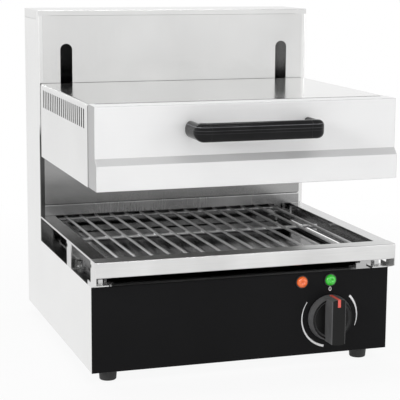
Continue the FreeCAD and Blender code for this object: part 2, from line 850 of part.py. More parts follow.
def make_rack():
    """Side rails on legs, and the front bar that ties them together."""
    rail_front = bar_back
    notch_floor = deck_top + D.leg_notch_rise
    for name, sign in SIDES:
        label = f"rack_rail_{name}"
        inner_rear_end = cheek_face + D.rack_rear_run
        leg = (leg_front, leg_back)
        hem = rounded(label, mirrored_span(label, sign, (half - D.rack_hem_width, half),
                                           (rail_front, cheek_face),
                                           (rack_height - D.rack_hem_height, rack_height)),
                      D.rack_hem_radius, lambda e: runs_along(e, "y") and near(abs(middle(e).x), half))
        parts = [
            hem,
            mirrored_span(label, sign, (rack_inner, half - D.rack_hem_radius), (rail_front, cheek_face),
                          (rack_under, rack_height)),
            mirrored_span(label, sign, (rack_inner, rack_inner + D.sheet),
                          (cheek_face - D.sheet, inner_rear_end), (ledge_top - D.sheet, rack_under)),
            mirrored_span(label, sign, (rack_inner, rack_inner + D.sheet), (rail_front, cheek_face),
                          (rack_height - D.rack_fold, rack_height)),
            mirrored_span(label, sign, (rack_inner + D.sheet, rack_inner + 2 * D.sheet),
                          (rail_front, cheek_face), (ledge_top - D.sheet, rack_height)),
            mirrored_span(label, sign, (rack_inner - D.rack_ledge, rack_inner + 2 * D.sheet),
                          (rail_front, cheek_face), (ledge_top - D.sheet, ledge_top)),
            mirrored_span(label, sign, (rack_inner - D.rack_ledge, rack_inner + D.sheet),
                          (cheek_face, inner_rear_end), (ledge_top - D.sheet, ledge_top)),
            mirrored_span(label, sign, (wall_edge, half), leg,
                          (deck_top, rack_height - D.rack_hem_radius)),
            mirrored_span(label, sign, (half - D.leg_tab_reach, half), leg,
                          (deck_top, deck_top + D.sheet)),
            mirrored_span(label, sign, (cheek_edge, wall_edge), (cheek_face - D.sheet, cheek_face),
                          (deck_top, rack_under)),
        ]
        notch = mirrored_span(label, sign, (wall_edge - D.overrun, half + D.overrun),
                              (leg[1] - D.leg_notch, leg[1] + D.overrun),
                              (notch_floor, notch_floor + D.leg_notch))
        hole = cylinder(label, D.bolt_radius + D.bore_play, D.overrun,
                        (sign * (half - D.bolt_inset), (leg[0] + leg[1]) / 2, deck_top))
        keep(label, cut(label, fuse(label, parts), [notch, hole]))

    ends = []
    tools = []
    foot_front = panel_face + D.bar_foot_front
    for name, sign in SIDES:
        ends.append(mirrored_span("rack_bar", sign, (wall_edge, half), (lip, bar_back),
                                  (bar_bottom, rack_height)))
        ends.append(wedge("rack_bar", (wall_edge, half) if sign > 0 else (-half, -wall_edge),
                          (lip, foot_front), (deck_top + D.bar_toe_rise, deck_top), bar_bottom))
        ends.append(mirrored_span("rack_bar", sign, (wall_edge, half), (foot_front, bar_back),
                                  (deck_top, bar_bottom)))
        ends.append(mirrored_span("rack_bar", sign, (wall_edge, half),
                                  (foot_front, foot_front + D.bar_foot_run),
                                  (deck_top, deck_top + D.bar_toe_rise)))
        ends.append(mirrored_span("rack_bar", sign, (half - D.bar_foot_width, half),
                                  (foot_front, foot_front + D.bar_foot_run),
                                  (deck_top, deck_top + D.sheet)))
        tools.append(mirrored_span("rack_bar", sign, (wall_edge - D.overrun, half + D.overrun),
                                   (bar_back - D.leg_notch, bar_back + D.overrun),
                                   (notch_floor, notch_floor + D.leg_notch)))
        tools.append(cylinder("rack_bar", D.bolt_radius + D.bore_play, D.overrun,
                              (sign * (half - D.bolt_inset), front_bolt_line, deck_top)))
    bar = fuse("rack_bar", [
        span("rack_bar", (-half, half), (lip, lip + D.sheet), (bar_bottom, rack_height)),
        span("rack_bar", (-half, half), (lip, bar_back), (rack_under, rack_height)),
        span("rack_bar", (-half, half), (lip, lip + D.bar_lower_lip), (bar_bottom, bar_bottom + D.sheet)),
    ] + ends)
    bar = cut("rack_bar", bar, tools)
    keep("rack_bar", rounded("rack_bar", bar, D.bar_edge_radius,
                             lambda e: runs_along(e, "x") and near(middle(e).y, lip)
                             and (near(middle(e).z, rack_height) or near(middle(e).z, bar_bottom))))

    bolts = []
    for x, y in bolt_spots():
        z = deck_top + D.sheet
        washer = cylinder("frame_bolt", D.bolt_washer_radius, D.bolt_washer_sheet, (x, y, z))
        head = prism("frame_bolt", D.bolt_head_across, D.bolt_head_height, (x, y, z + D.bolt_washer_sheet))
        tip = z + D.bolt_washer_sheet - D.bolt_grip
        shank = cylinder("frame_bolt", D.bolt_radius, D.bolt_grip, (x, y, tip))
        bolts.append(fuse("frame_bolt", [washer, head, shank]))
    keep("frame_bolts", group("frame_bolts", bolts))

    runners = []
    for name, sign in SIDES:
        inner = tray_half + D.tray_side_play
        ledge = tray_floor - D.tray_play
        y = (lip + D.runner_setback, rear - D.runner_rear_run)
        runners.append(fuse("tray_runner", [
            mirrored_span("tray_runner", sign, (inner, inner + D.sheet), y,
                          (deck_top, tray_floor + D.runner_guide)),
            mirrored_span("tray_runner", sign, (inner, inner + D.runner_flange), y,
                          (deck_top, deck_top + D.sheet)),
            mirrored_span("tray_runner", sign, (inner - D.runner_ledge, inner + D.sheet), y,
                          (ledge - D.sheet, ledge)),
        ]))
    keep("tray_runners", group("tray_runners", runners))


def make_grid():
    """Chrome wires front to back, welded on three cross rods that lie on the ledges."""
    length = rear_rod - front_rod + 2 * D.grid_wire_overhang
    pitch = 2 * outer_wire / (LONG_WIRES - 1)
    rod_pitch = (rear_rod - front_rod) / (CROSS_RODS - 1)
    parts = []
    for i in range(LONG_WIRES):
        x = -outer_wire + pitch * i
        parts.append(cylinder("long_wire", D.grid_wire_radius, length,
                              (x, front_rod - D.grid_wire_overhang, wire_height), "y"))
    for i in range(CROSS_RODS):
        parts.append(cylinder("cross_rod", D.grid_rod_radius, 2 * grid_half,
                              (-grid_half, rear_rod - rod_pitch * i, rod_height), "x"))
    keep("wire_grid", fuse("wire_grid", parts))


def make_tray():
    """Pressed drip tray that slides out under the front bar."""
    low = tray_floor
    shells = []
    for inset, rise in ((0, 0), (D.tray_wall, D.overrun)):
        side = tray_half - inset
        floor = low + inset
        shell = span("drip_tray", (-side, side),
                     (lip + D.tray_setback + inset, rear - D.tray_rear_run - inset),
                     (floor, low + D.tray_height + rise))
        shell = rounded("drip_tray", shell, D.tray_corner_radius - inset, lambda e: runs_along(e, "z"))
        shells.append(rounded("drip_tray", shell, D.tray_foot_radius - inset,
                              lambda e: near(middle(e).z, floor)))
    keep("drip_tray", cut("drip_tray", shells[0], shells[1:]))


def make_column_works():
    """Guide rods, beams, pulleys, cables and the counterweight inside the column."""
    rods = []
    rod_length = beam_ceiling - beam_floor
    for name, sign in SIDES:
        rods.append(cylinder("guide_rod", D.guide_radius, rod_length,
                             (sign * guide_side, guide_line, beam_floor)))
        rods.append(cylinder("guide_rod", D.weight_guide_radius, rod_length,
                             (sign * weight_guide_side, rear_cable_line, beam_floor)))
    keep("guide_rods", group("guide_rods", rods))

    beam_y = (rear - D.beam_front_run, rear - D.beam_rear_run)
    for label, z in (("bottom_beam", beam_floor), ("top_beam", beam_ceiling - D.beam_sheet)):
        up = label == "bottom_beam"
        lip_z = (z, z + D.beam_lip) if up else (z + D.beam_sheet - D.beam_lip, z + D.beam_sheet)
        parts = [span(label, (-wall_edge, wall_edge), beam_y, (z, z + D.beam_sheet))]
        for name, sign in SIDES:
            parts.append(mirrored_span(label, sign, (wall_edge - D.beam_sheet, wall_edge), beam_y, lip_z))
        if not up:
            for name, sign in SIDES:
                for gap_sign in (-1, 1):
                    middle_x = sign * pulley_side
                    offset = D.pulley_width / 2 + D.hanger_play + D.hanger_sheet / 2
                    x = middle_x + gap_sign * offset
                    parts.append(span(label, (x - D.hanger_sheet / 2, x + D.hanger_sheet / 2),
                                      (pulley_line - D.hanger_width / 2, pulley_line + D.hanger_width / 2),
                                      (pulley_height - D.hanger_foot, z)))
        tools = []
        for name, sign in SIDES:
            for side, line, radius in (
                (guide_side, guide_line, D.guide_radius),
                (weight_guide_side, rear_cable_line, D.weight_guide_radius),
            ):
                tools.append(cylinder(label, radius + D.bore_play, 2 * D.overrun,
                                      (sign * side, line, z - D.overrun)))
            if not up:
                reach = D.pulley_width / 2 + D.hanger_play + D.hanger_sheet
                tools.append(cylinder(label, D.axle_radius + D.bore_play, 2 * (reach + D.overrun),
                                      (sign * pulley_side - reach - D.overrun, pulley_line,
                                       pulley_height), "x"))
        if up:
            tools.append(cylinder(label, D.sleeve_radius + D.sleeve_bore, 2 * D.overrun,
                                  (sleeve_side, rear - D.sleeve_run, z - D.overrun)))
        keep(label, cut(label, fuse(label, parts), tools))

    axles = []
    wraps = []
    front_runs = []
    rear_runs = []
    for name, sign in SIDES:
        x = sign * pulley_side
        reach = D.pulley_width / 2 + D.hanger_play + D.hanger_sheet
        shaft = cylinder("pulley_axle", D.axle_radius, 2 * reach,
                         (x - reach, pulley_line, pulley_height), "x")
        heads = [
            cylinder("pulley_axle", D.axle_radius + D.axle_head / 2, D.axle_head,
                     (x - reach - D.axle_head, pulley_line, pulley_height), "x"),
            cylinder("pulley_axle", D.axle_radius + D.axle_head / 2, D.axle_head,
                     (x + reach, pulley_line, pulley_height), "x"),
        ]
        axles.append(fuse("pulley_axle", [shaft] + heads))

        make_pulley(f"pulley_{name}", x)

        ring = doc.addObject("Part::Torus", unique("cable_wrap"))
        bind(ring, "Radius1", D.pulley_radius)
        bind(ring, "Radius2", D.cable_radius)
        ring.Placement = FreeCAD.Placement(FreeCAD.Vector(), AXIS_TURN["x"])
        place(ring, (x, pulley_line, pulley_height))
        reach_out = D.pulley_radius + D.overrun
        upper = span("cable_wrap", (x - reach_out, x + reach_out),
                     (pulley_line - reach_out, pulley_line + reach_out),
                     (pulley_height, pulley_height + reach_out))
        wraps.append(common("cable_wrap", [ring, upper]))
        front_runs.append(cylinder("front_cable", D.cable_radius, pulley_height - lug_top,
                                   (x, front_cable_line, lug_top)))
        rear_runs.append(cylinder("rear_cable", D.cable_radius, pulley_height - weight_lug_top,
                                  (x, rear_cable_line, weight_lug_top)))
    keep("pulley_axles", group("pulley_axles", axles))
    keep("cable_wraps", group("cable_wraps", wraps))
    keep("front_cables", group("front_cables", front_runs))
    keep("rear_cables", group("rear_cables", rear_runs))

    weight_y = (rear_cable_line - D.weight_depth / 2, rear_cable_line + D.weight_depth / 2)
    slab = span("counterweight", (D.weight_side_gap - half, half - D.weight_side_gap), weight_y,
                (weight_bottom, weight_top))
    slab = rounded("counterweight", slab, D.weight_edge_radius, lambda e: True)
    bores = []
    lugs = []
    for name, sign in SIDES:
        bores.append(cylinder("weight_bore", D.weight_guide_radius + D.bore_play,
                              D.weight_height + 2 * D.overrun,
                              (sign * weight_guide_side, rear_cable_line,
                               weight_bottom - D.overrun)))
        lugs.append(cylinder("weight_lug", D.weight_lug_radius, D.weight_lug_height + D.overrun,
                             (sign * pulley_side, rear_cable_line, weight_top - D.overrun)))
    keep("counterweight", cut("counterweight", fuse("counterweight", [slab] + lugs), bores))


def make_pulley(label, x):
    """A grooved wheel on a cross axle."""
    body = new_body(label)
    sketch = new_sketch(body, "XZ_Plane", -pulley_line)
    rim = D.pulley_radius + D.pulley_rim
    floor = D.pulley_radius - D.cable_radius - D.seat_gap
    edge = D.pulley_width / 2
    bore = D.axle_radius + D.bore_play
    z = pulley_height
    outline(sketch, [
        (x - edge, z + bore),
        (x + edge, z + bore),
        (x + edge, z + rim),
        (x + edge / 2, z + rim),
        (x + edge / 4, z + floor),
        (x - edge / 4, z + floor),
        (x - edge / 2, z + rim),
        (x - edge, z + rim),
    ])
    axis_line = sketch.addGeometry(
        Part.LineSegment(FreeCAD.Vector(float(x - edge), float(z), 0),
                         FreeCAD.Vector(float(x + edge), float(z), 0)), True)
    pin_point(sketch, axis_line, (x - edge, z))
    sketch.addConstraint(Sketcher.Constraint("Horizontal", axis_line))
    index = sketch.addConstraint(Sketcher.Constraint("DistanceX", axis_line, 1, axis_line, 2,
                                                     float(2 * edge)))
    sketch.setExpression(f"Constraints[{index}]", (2 * edge).text)
    revolve(body, sketch, "Axis0")


def make_lift():
    """Arms, carriage and bushes that carry the hood on the guide rods."""
    for name, sign in SIDES:
        label = f"lift_arm_{name}"
        x = (arm_side - D.arm_sheet / 2, arm_side + D.arm_sheet / 2)
        web = mirrored_span(label, sign, x, (hood_rear - D.arm_reach, carriage_back),
                            (arm_bottom, arm_top))
        tab = mirrored_span(label, sign, (x[0] - D.arm_tab, x[1]),
                            (hood_rear - D.arm_reach, hood_rear - D.arm_tab_start),
                            (arm_top - D.arm_tab_sheet, arm_top))
        keep(label, fuse(label, [web, tab]))

    plate = span("carriage", (D.carriage_inset - half, half - D.carriage_inset),
                 (carriage_front, carriage_back), (carriage_bottom, arm_top))
    parts = [plate]
    tools = []
    bushes = []
    for name, sign in SIDES:
        x = sign * guide_side
        parts.append(span("carriage", (x - D.housing_width / 2, x + D.housing_width / 2),
                          (carriage_back, carriage_back + D.housing_depth), (carriage_bottom, arm_top)))
        tools.append(cylinder("carriage", D.bush_radius, D.carriage_height + 2 * D.overrun,
                              (x, guide_line, carriage_bottom - D.overrun)))
        lug_x = sign * pulley_side
        parts.append(span("carriage", (lug_x - D.lug_width / 2, lug_x + D.lug_width / 2),
                          (carriage_back, carriage_back + D.lug_depth), (lug_top - D.lug_height, lug_top)))
        tools.append(mirrored_span("carriage", sign,
                                   (arm_side - D.arm_sheet / 2, arm_side + D.arm_sheet / 2),
                                   (carriage_front - D.overrun, carriage_back),
                                   (arm_bottom, arm_top + D.overrun)))
        for z in (carriage_bottom, arm_top - D.bush_length):
            outer = cylinder("guide_bush", D.bush_radius, D.bush_length, (x, guide_line, z))
            bore = cylinder("guide_bush", D.guide_radius + D.bore_play, D.bush_length, (x, guide_line, z))
            bushes.append(cut("guide_bush", outer, [bore]))
    tab_x = (sleeve_side - D.sleeve_tab_width / 2, sleeve_side + D.sleeve_tab_width / 2)
    parts.append(span("carriage", tab_x,
                      (carriage_back - D.carriage_sheet, carriage_back + D.sleeve_tab_run),
                      (carriage_bottom, carriage_bottom + D.sleeve_tab_sheet)))
    keep("carriage", cut("carriage", fuse("carriage", parts), tools))
    keep("guide_bushes", group("guide_bushes", bushes))

    keep("harness_sleeve", cylinder("harness_sleeve", D.sleeve_radius, carriage_bottom - deck_top,
                                    (sleeve_side, rear - D.sleeve_run, deck_top)))
    x = sleeve_side
    y = rear - D.sleeve_run
    lower = deck_under - D.grommet_height / 2
    body = cylinder("deck_grommet", D.grommet_radius - D.grommet_lip, D.grommet_height, (x, y, lower))
    collar = cylinder("deck_grommet", D.grommet_radius, deck_under - lower, (x, y, lower))
    bore = cylinder("deck_grommet", D.sleeve_radius - D.grommet_lip, D.grommet_height + D.overrun,
                    (x, y, lower - D.overrun))
    top_cut = cylinder("deck_grommet", D.grommet_radius + D.overrun, D.overrun, (x, y, deck_top))
    keep("deck_grommet", cut("deck_grommet", fuse("deck_grommet", [body, collar]),
                             [fuse("grommet_core", [bore, top_cut])]))


def make_hood():
    """Folded top and sides, with back and front plates between them."""
    body = new_body("hood_shell")
    sketch = new_sketch(body, "XZ_Plane", -hood_rear)
    low = hood_bottom
    inner = hood_half - D.sheet
    outline(sketch, [
        (-hood_half, low),
        (-hood_half + D.hood_flange, low),
        (-hood_half + D.hood_flange, low + D.sheet),
        (-inner, low + D.sheet),
        (-inner, hood_ceiling),
        (inner, hood_ceiling),
        (inner, low + D.sheet),
        (hood_half - D.hood_flange, low + D.sheet),
        (hood_half - D.hood_flange, low),
        (hood_half, low),
        (hood_half, hood_top),
        (-hood_half, hood_top),
    ])
    pad(body, sketch, hood_length)
    round_body(body, D.hood_bend_radius,
               lambda e: runs_along(e, "y") and near(abs(middle(e).x), hood_half)
               and near(middle(e).z, hood_top))
    vent = new_sketch(body, "YZ_Plane", half)
    y = hood_rear - D.vent_start
    z = hood_top - D.vent_top_gap
    outline(vent, [(y, z), (y, z - D.vent_height), (y - D.vent_width, z - D.vent_height),
                   (y - D.vent_width, z)])
    first = pocket(body, vent, D.body_width)
    pattern = body.newObject("PartDesign::LinearPattern", unique("vents"))
    pattern.Originals = [first]
    pattern.Direction = (vent, ["H_Axis"])
    pattern.Reversed = True
    bind(pattern, "Length", hood_length - D.vent_start - D.vent_end - D.vent_width)
    pattern.Occurrences = SIDE_VENTS
    body.Tip = pattern
    doc.recompute()

    plate_x = (-hood_half + D.sheet, hood_half - D.sheet)
    plate_z = (hood_bottom + D.sheet, hood_ceiling)
    back = span("hood_back", plate_x, (hood_rear - D.sheet, hood_rear), plate_z)
    tools = [mirrored_span("hood_back", sign, (arm_side - D.arm_sheet / 2, arm_side + D.arm_sheet / 2),
                           (hood_rear - D.overrun, hood_rear + D.overrun),
                           (arm_bottom, arm_top + D.overrun)) for name, sign in SIDES]
    keep("hood_back", cut("hood_back", back, tools))
    keep("hood_front", span("hood_front", plate_x, (hood_front, hood_front + D.sheet), plate_z))
    make_fascia()
    make_handle()


def make_fascia():
    """Stepped front pan of the hood, with a vent gap along its top."""
    body = new_body("fascia")
    side = half - D.fascia_side_inset
    upper = hood_front - D.fascia_upper_reach
    lower = hood_front - D.fascia_lip_reach
    bottom = hood_bottom
    step_top = bottom + D.fascia_step_top
    step_bottom = bottom + D.fascia_step_bottom
    sketch = new_sketch(body, "YZ_Plane", -side)
    outline(sketch, [
        (hood_front, bottom),
        (hood_front, hood_top),
        (upper, hood_top),
        (upper, step_top),
        (lower, step_bottom),
        (lower, bottom),
    ])
    pad(body, sketch, 2 * side)
    round_body(body, D.fascia_edge_radius,
               lambda e: not near(middle(e).y, hood_front) and
               (near(abs(middle(e).x), side) or runs_along(e, "x")))
    room = new_sketch(body, "YZ_Plane", -side + D.sheet)
    wall = D.sheet
    outline(room, [
        (hood_front + D.overrun, bottom + wall),
        (hood_front + D.overrun, hood_top - wall),
        (upper + wall, hood_top - wall),
        (upper + wall, step_top),
        (lower + wall, step_bottom),
        (lower + wall, bottom + wall),
    ])
    pocket(body, room, 2 * (side - D.sheet), True)
    gap = new_sketch(body, "YZ_Plane", -side + D.fascia_back_lip)
    outline(gap, [
        (hood_front + D.overrun, hood_top - D.fascia_vent_depth),
        (hood_front + D.overrun, hood_top + D.overrun),
        (hood_front - D.fascia_vent_gap, hood_top + D.overrun),
        (hood_front - D.fascia_vent_gap, hood_top - D.fascia_vent_depth),
    ])
    pocket(body, gap, 2 * (side - D.fascia_back_lip), True)
    screw = new_sketch(body, "XZ_Plane", -upper + D.overrun)
    for sign in (-1, 1):
        x = sign * (D.handle_width - D.handle_thickness) / 2
        z = hood_top - D.handle_drop + D.handle_height / 2
        hole = screw.addGeometry(Part.Circle(FreeCAD.Vector(float(x), float(z), 0),
                                             FreeCAD.Vector(0, 0, 1), float(D.handle_screw_radius)))
        for kind, size in (("DistanceX", x), ("DistanceY", z)):
            index = screw.addConstraint(Sketcher.Constraint(kind, -1, 1, hole, 3, float(size)))
            screw.setExpression(f"Constraints[{index}]", size.text)
        radius = D.handle_screw_radius + D.bore_play
        index = screw.addConstraint(Sketcher.Constraint("Radius", hole, float(radius)))
        screw.setExpression(f"Constraints[{index}]", radius.text)
    pocket(body, screw, 2 * D.overrun)


def make_handle():
    """Moulded bow handle, screwed on from inside the fascia."""
    face = hood_front - D.fascia_upper_reach
    front = lip - D.handle_reach
    side = D.handle_width / 2
    z = (hood_top - D.handle_drop, hood_top - D.handle_drop + D.handle_height)
    bow = cut("handle", span("handle", (-side, side), (front, face), z),
              [span("handle", (-side + D.handle_thickness, side - D.handle_thickness),
                    (front + D.handle_thickness, face + D.overrun),
                    (z[0] - D.overrun, z[1] + D.overrun))])
    bow = rounded("handle", bow, D.handle_outer_radius,
                  lambda e: runs_along(e, "z") and near(middle(e).y, front))
    bow = rounded("handle", bow, D.handle_inner_radius,
                  lambda e: runs_along(e, "z") and near(middle(e).y, front + D.handle_thickness))
    ends = rounded("handle", span("handle", (-side, side), (front, face), z),
                   D.handle_height * HANDLE_END_SHARE, lambda e: runs_along(e, "y"))
    blank = common("handle", [bow, ends])
    bow = rounded("handle", blank, D.handle_edge_radius,
                  lambda e: creased(blank.Shape, e) and not near(middle(e).y, face))
    bores = []
    screws = []
    inside = face + D.sheet
    mid = hood_top - D.handle_drop + D.handle_height / 2
    for name, sign in SIDES:
        x = sign * (side - D.handle_thickness / 2)
        bores.append(cylinder("handle_bore", D.handle_screw_radius, D.handle_screw_length + D.overrun,
                              (x, inside - D.handle_screw_length, mid), "y"))
        shank = cylinder("handle_screw", D.handle_screw_radius, D.handle_screw_length,
                         (x, inside - D.handle_screw_length, mid), "y")
        head = cylinder("handle_screw", D.handle_screw_head, D.handle_screw_head_height,
                        (x, inside, mid), "y")
        screws.append(fuse("handle_screw", [shank, head]))
    keep("handle", cut("handle", bow, bores))
    keep("handle_screws", group("handle_screws", screws))


def dish(top, side, front, back, low, high, slope):
    """A four-sided block that narrows towards its top, as plain faces."""
    rings = []
    for inset, z in ((0, low), (slope, high)):
        corners = [(-side + inset, front + inset), (side - inset, front + inset),
                   (side - inset, back - inset), (-side + inset, back - inset)]
        spots = [FreeCAD.Vector(x, y, z) for x, y in corners]
        rings.append(Part.makePolygon(spots + spots[:1]))
    return Part.makeLoft(rings, top, True)


first_run = float(hood_rear - D.element_rear_gap)
run_pitch = float(hood_length - D.element_rear_gap - D.element_front_gap) / (2 * ELEMENT_RUNS - 1)


def element_path(first_y, height):
    """Centre line of a heater: straight runs joined by half turns."""
    reach = float(hood_half - D.element_turn_inset)
    pitch = run_pitch
    tail = float(hood_half - D.sheet - D.terminal_depth)
    edges = []
    x_from = tail
    for run in range(ELEMENT_RUNS):
        y = first_y - pitch * run
        sign = -1 if run % 2 == 0 else 1
        x_to = sign * reach
        if run == ELEMENT_RUNS - 1:
            x_to = tail
        edges.append(Part.LineSegment(FreeCAD.Vector(x_from, y, height),
                                      FreeCAD.Vector(x_to, y, height)).toShape())
        if run < ELEMENT_RUNS - 1:
            edges.append(Part.Arc(FreeCAD.Vector(x_to, y, height),
                                  FreeCAD.Vector(x_to + sign * pitch / 2, y - pitch / 2, height),
                                  FreeCAD.Vector(x_to, y - pitch, height)).toShape())
        x_from = x_to
    return Part.Wire(edges), FreeCAD.Vector(tail, first_y, height)


def make_heat():
    """Reflector, two tube heaters on perforated supports, wool pad and terminal."""
    low = float(hood_bottom + D.sheet)
    high = float(hood_bottom + D.sheet + D.reflector_height)
    side = float(hood_half - D.reflector_side_gap)
    front = float(hood_front + D.reflector_end_gap)
    back = float(hood_rear - D.reflector_end_gap)
    wall = float(D.reflector_sheet)
    slope = float(D.reflector_slope)
    height = high - wall - float(D.element_drop) + float(D.element_radius)
    outer = dish(True, side, front, back, low, high, slope)
    inner = dish(True, side - wall, front + wall, back - wall, low, high - wall, slope)
    skin = outer.cut(inner)
    rim = Part.makeBox(2 * float(hood_half - D.sheet), float(hood_length - 2 * D.sheet), wall,
                       FreeCAD.Vector(-float(hood_half - D.sheet), float(hood_front + D.sheet), low))
    window = Part.makeBox(2 * (side - wall), back - front - 2 * wall, 3 * wall,
                          FreeCAD.Vector(wall - side, front + wall, low - wall))
    skin = skin.fuse(rim.cut(window)).removeSplitter()

    heaters = []
    clear = float(D.element_radius + D.seat_gap)
    for number, label in enumerate(("heating_element_rear", "heating_element_front")):
        first = first_run - run_pitch * ELEMENT_RUNS * number
        path, start = element_path(first, height)
        ring = Part.Wire([Part.Circle(start, FreeCAD.Vector(-1, 0, 0), float(D.element_radius)).toShape()])
        heaters.append((label, path.makePipeShell([ring], True, False)))
        for run in (0, ELEMENT_RUNS - 1):
            y = first - run_pitch * run
            hole = Part.makeCylinder(clear, 2 * float(hood_length),
                                     FreeCAD.Vector(0, y, height), FreeCAD.Vector(1, 0, 0))
            skin = skin.cut(hole)
    fixed("reflector", skin)
    for label, shape in heaters:
        fixed(label, shape)

    supports = []
    comb_low = height - float(D.support_foot)
    comb_y = (front + slope + wall, back - slope - wall)
    comb_x = float(hood_half - D.support_inset)
    for sign in (-1, 1):
        comb = Part.makeBox(float(D.sheet), comb_y[1] - comb_y[0], high - wall - comb_low,
                            FreeCAD.Vector(sign * comb_x, comb_y[0], comb_low))
        hole_x = sign * comb_x - float(D.overrun)
        for run in range(2 * ELEMENT_RUNS):
            y = first_run - run_pitch * run
            hole = Part.makeCylinder(clear, 2 * float(D.overrun),
                                     FreeCAD.Vector(hole_x, y, height), FreeCAD.Vector(1, 0, 0))
            comb = comb.cut(hole)
        supports.append(comb)
    fixed("element_supports", Part.makeCompound(supports))

    pad_half = hood_half - D.pad_side_gap - D.reflector_slope
    pad_low = hood_bottom + D.sheet + D.reflector_height
    keep("insulation_pad", span("insulation_pad", (-pad_half, pad_half),
                                (hood_front + D.pad_end_gap + D.reflector_slope,
                                 hood_rear - D.pad_end_gap - D.reflector_slope),
                                (pad_low, pad_low + D.pad_height)))
    x = hood_half - D.sheet
    z = hood_bottom + D.terminal_lift
    keep("hood_terminal", span("hood_terminal", (x - D.terminal_depth, x),
                               (hood_front + D.terminal_end_gap, hood_rear - D.terminal_end_gap),
                               (z, z + D.terminal_height)))


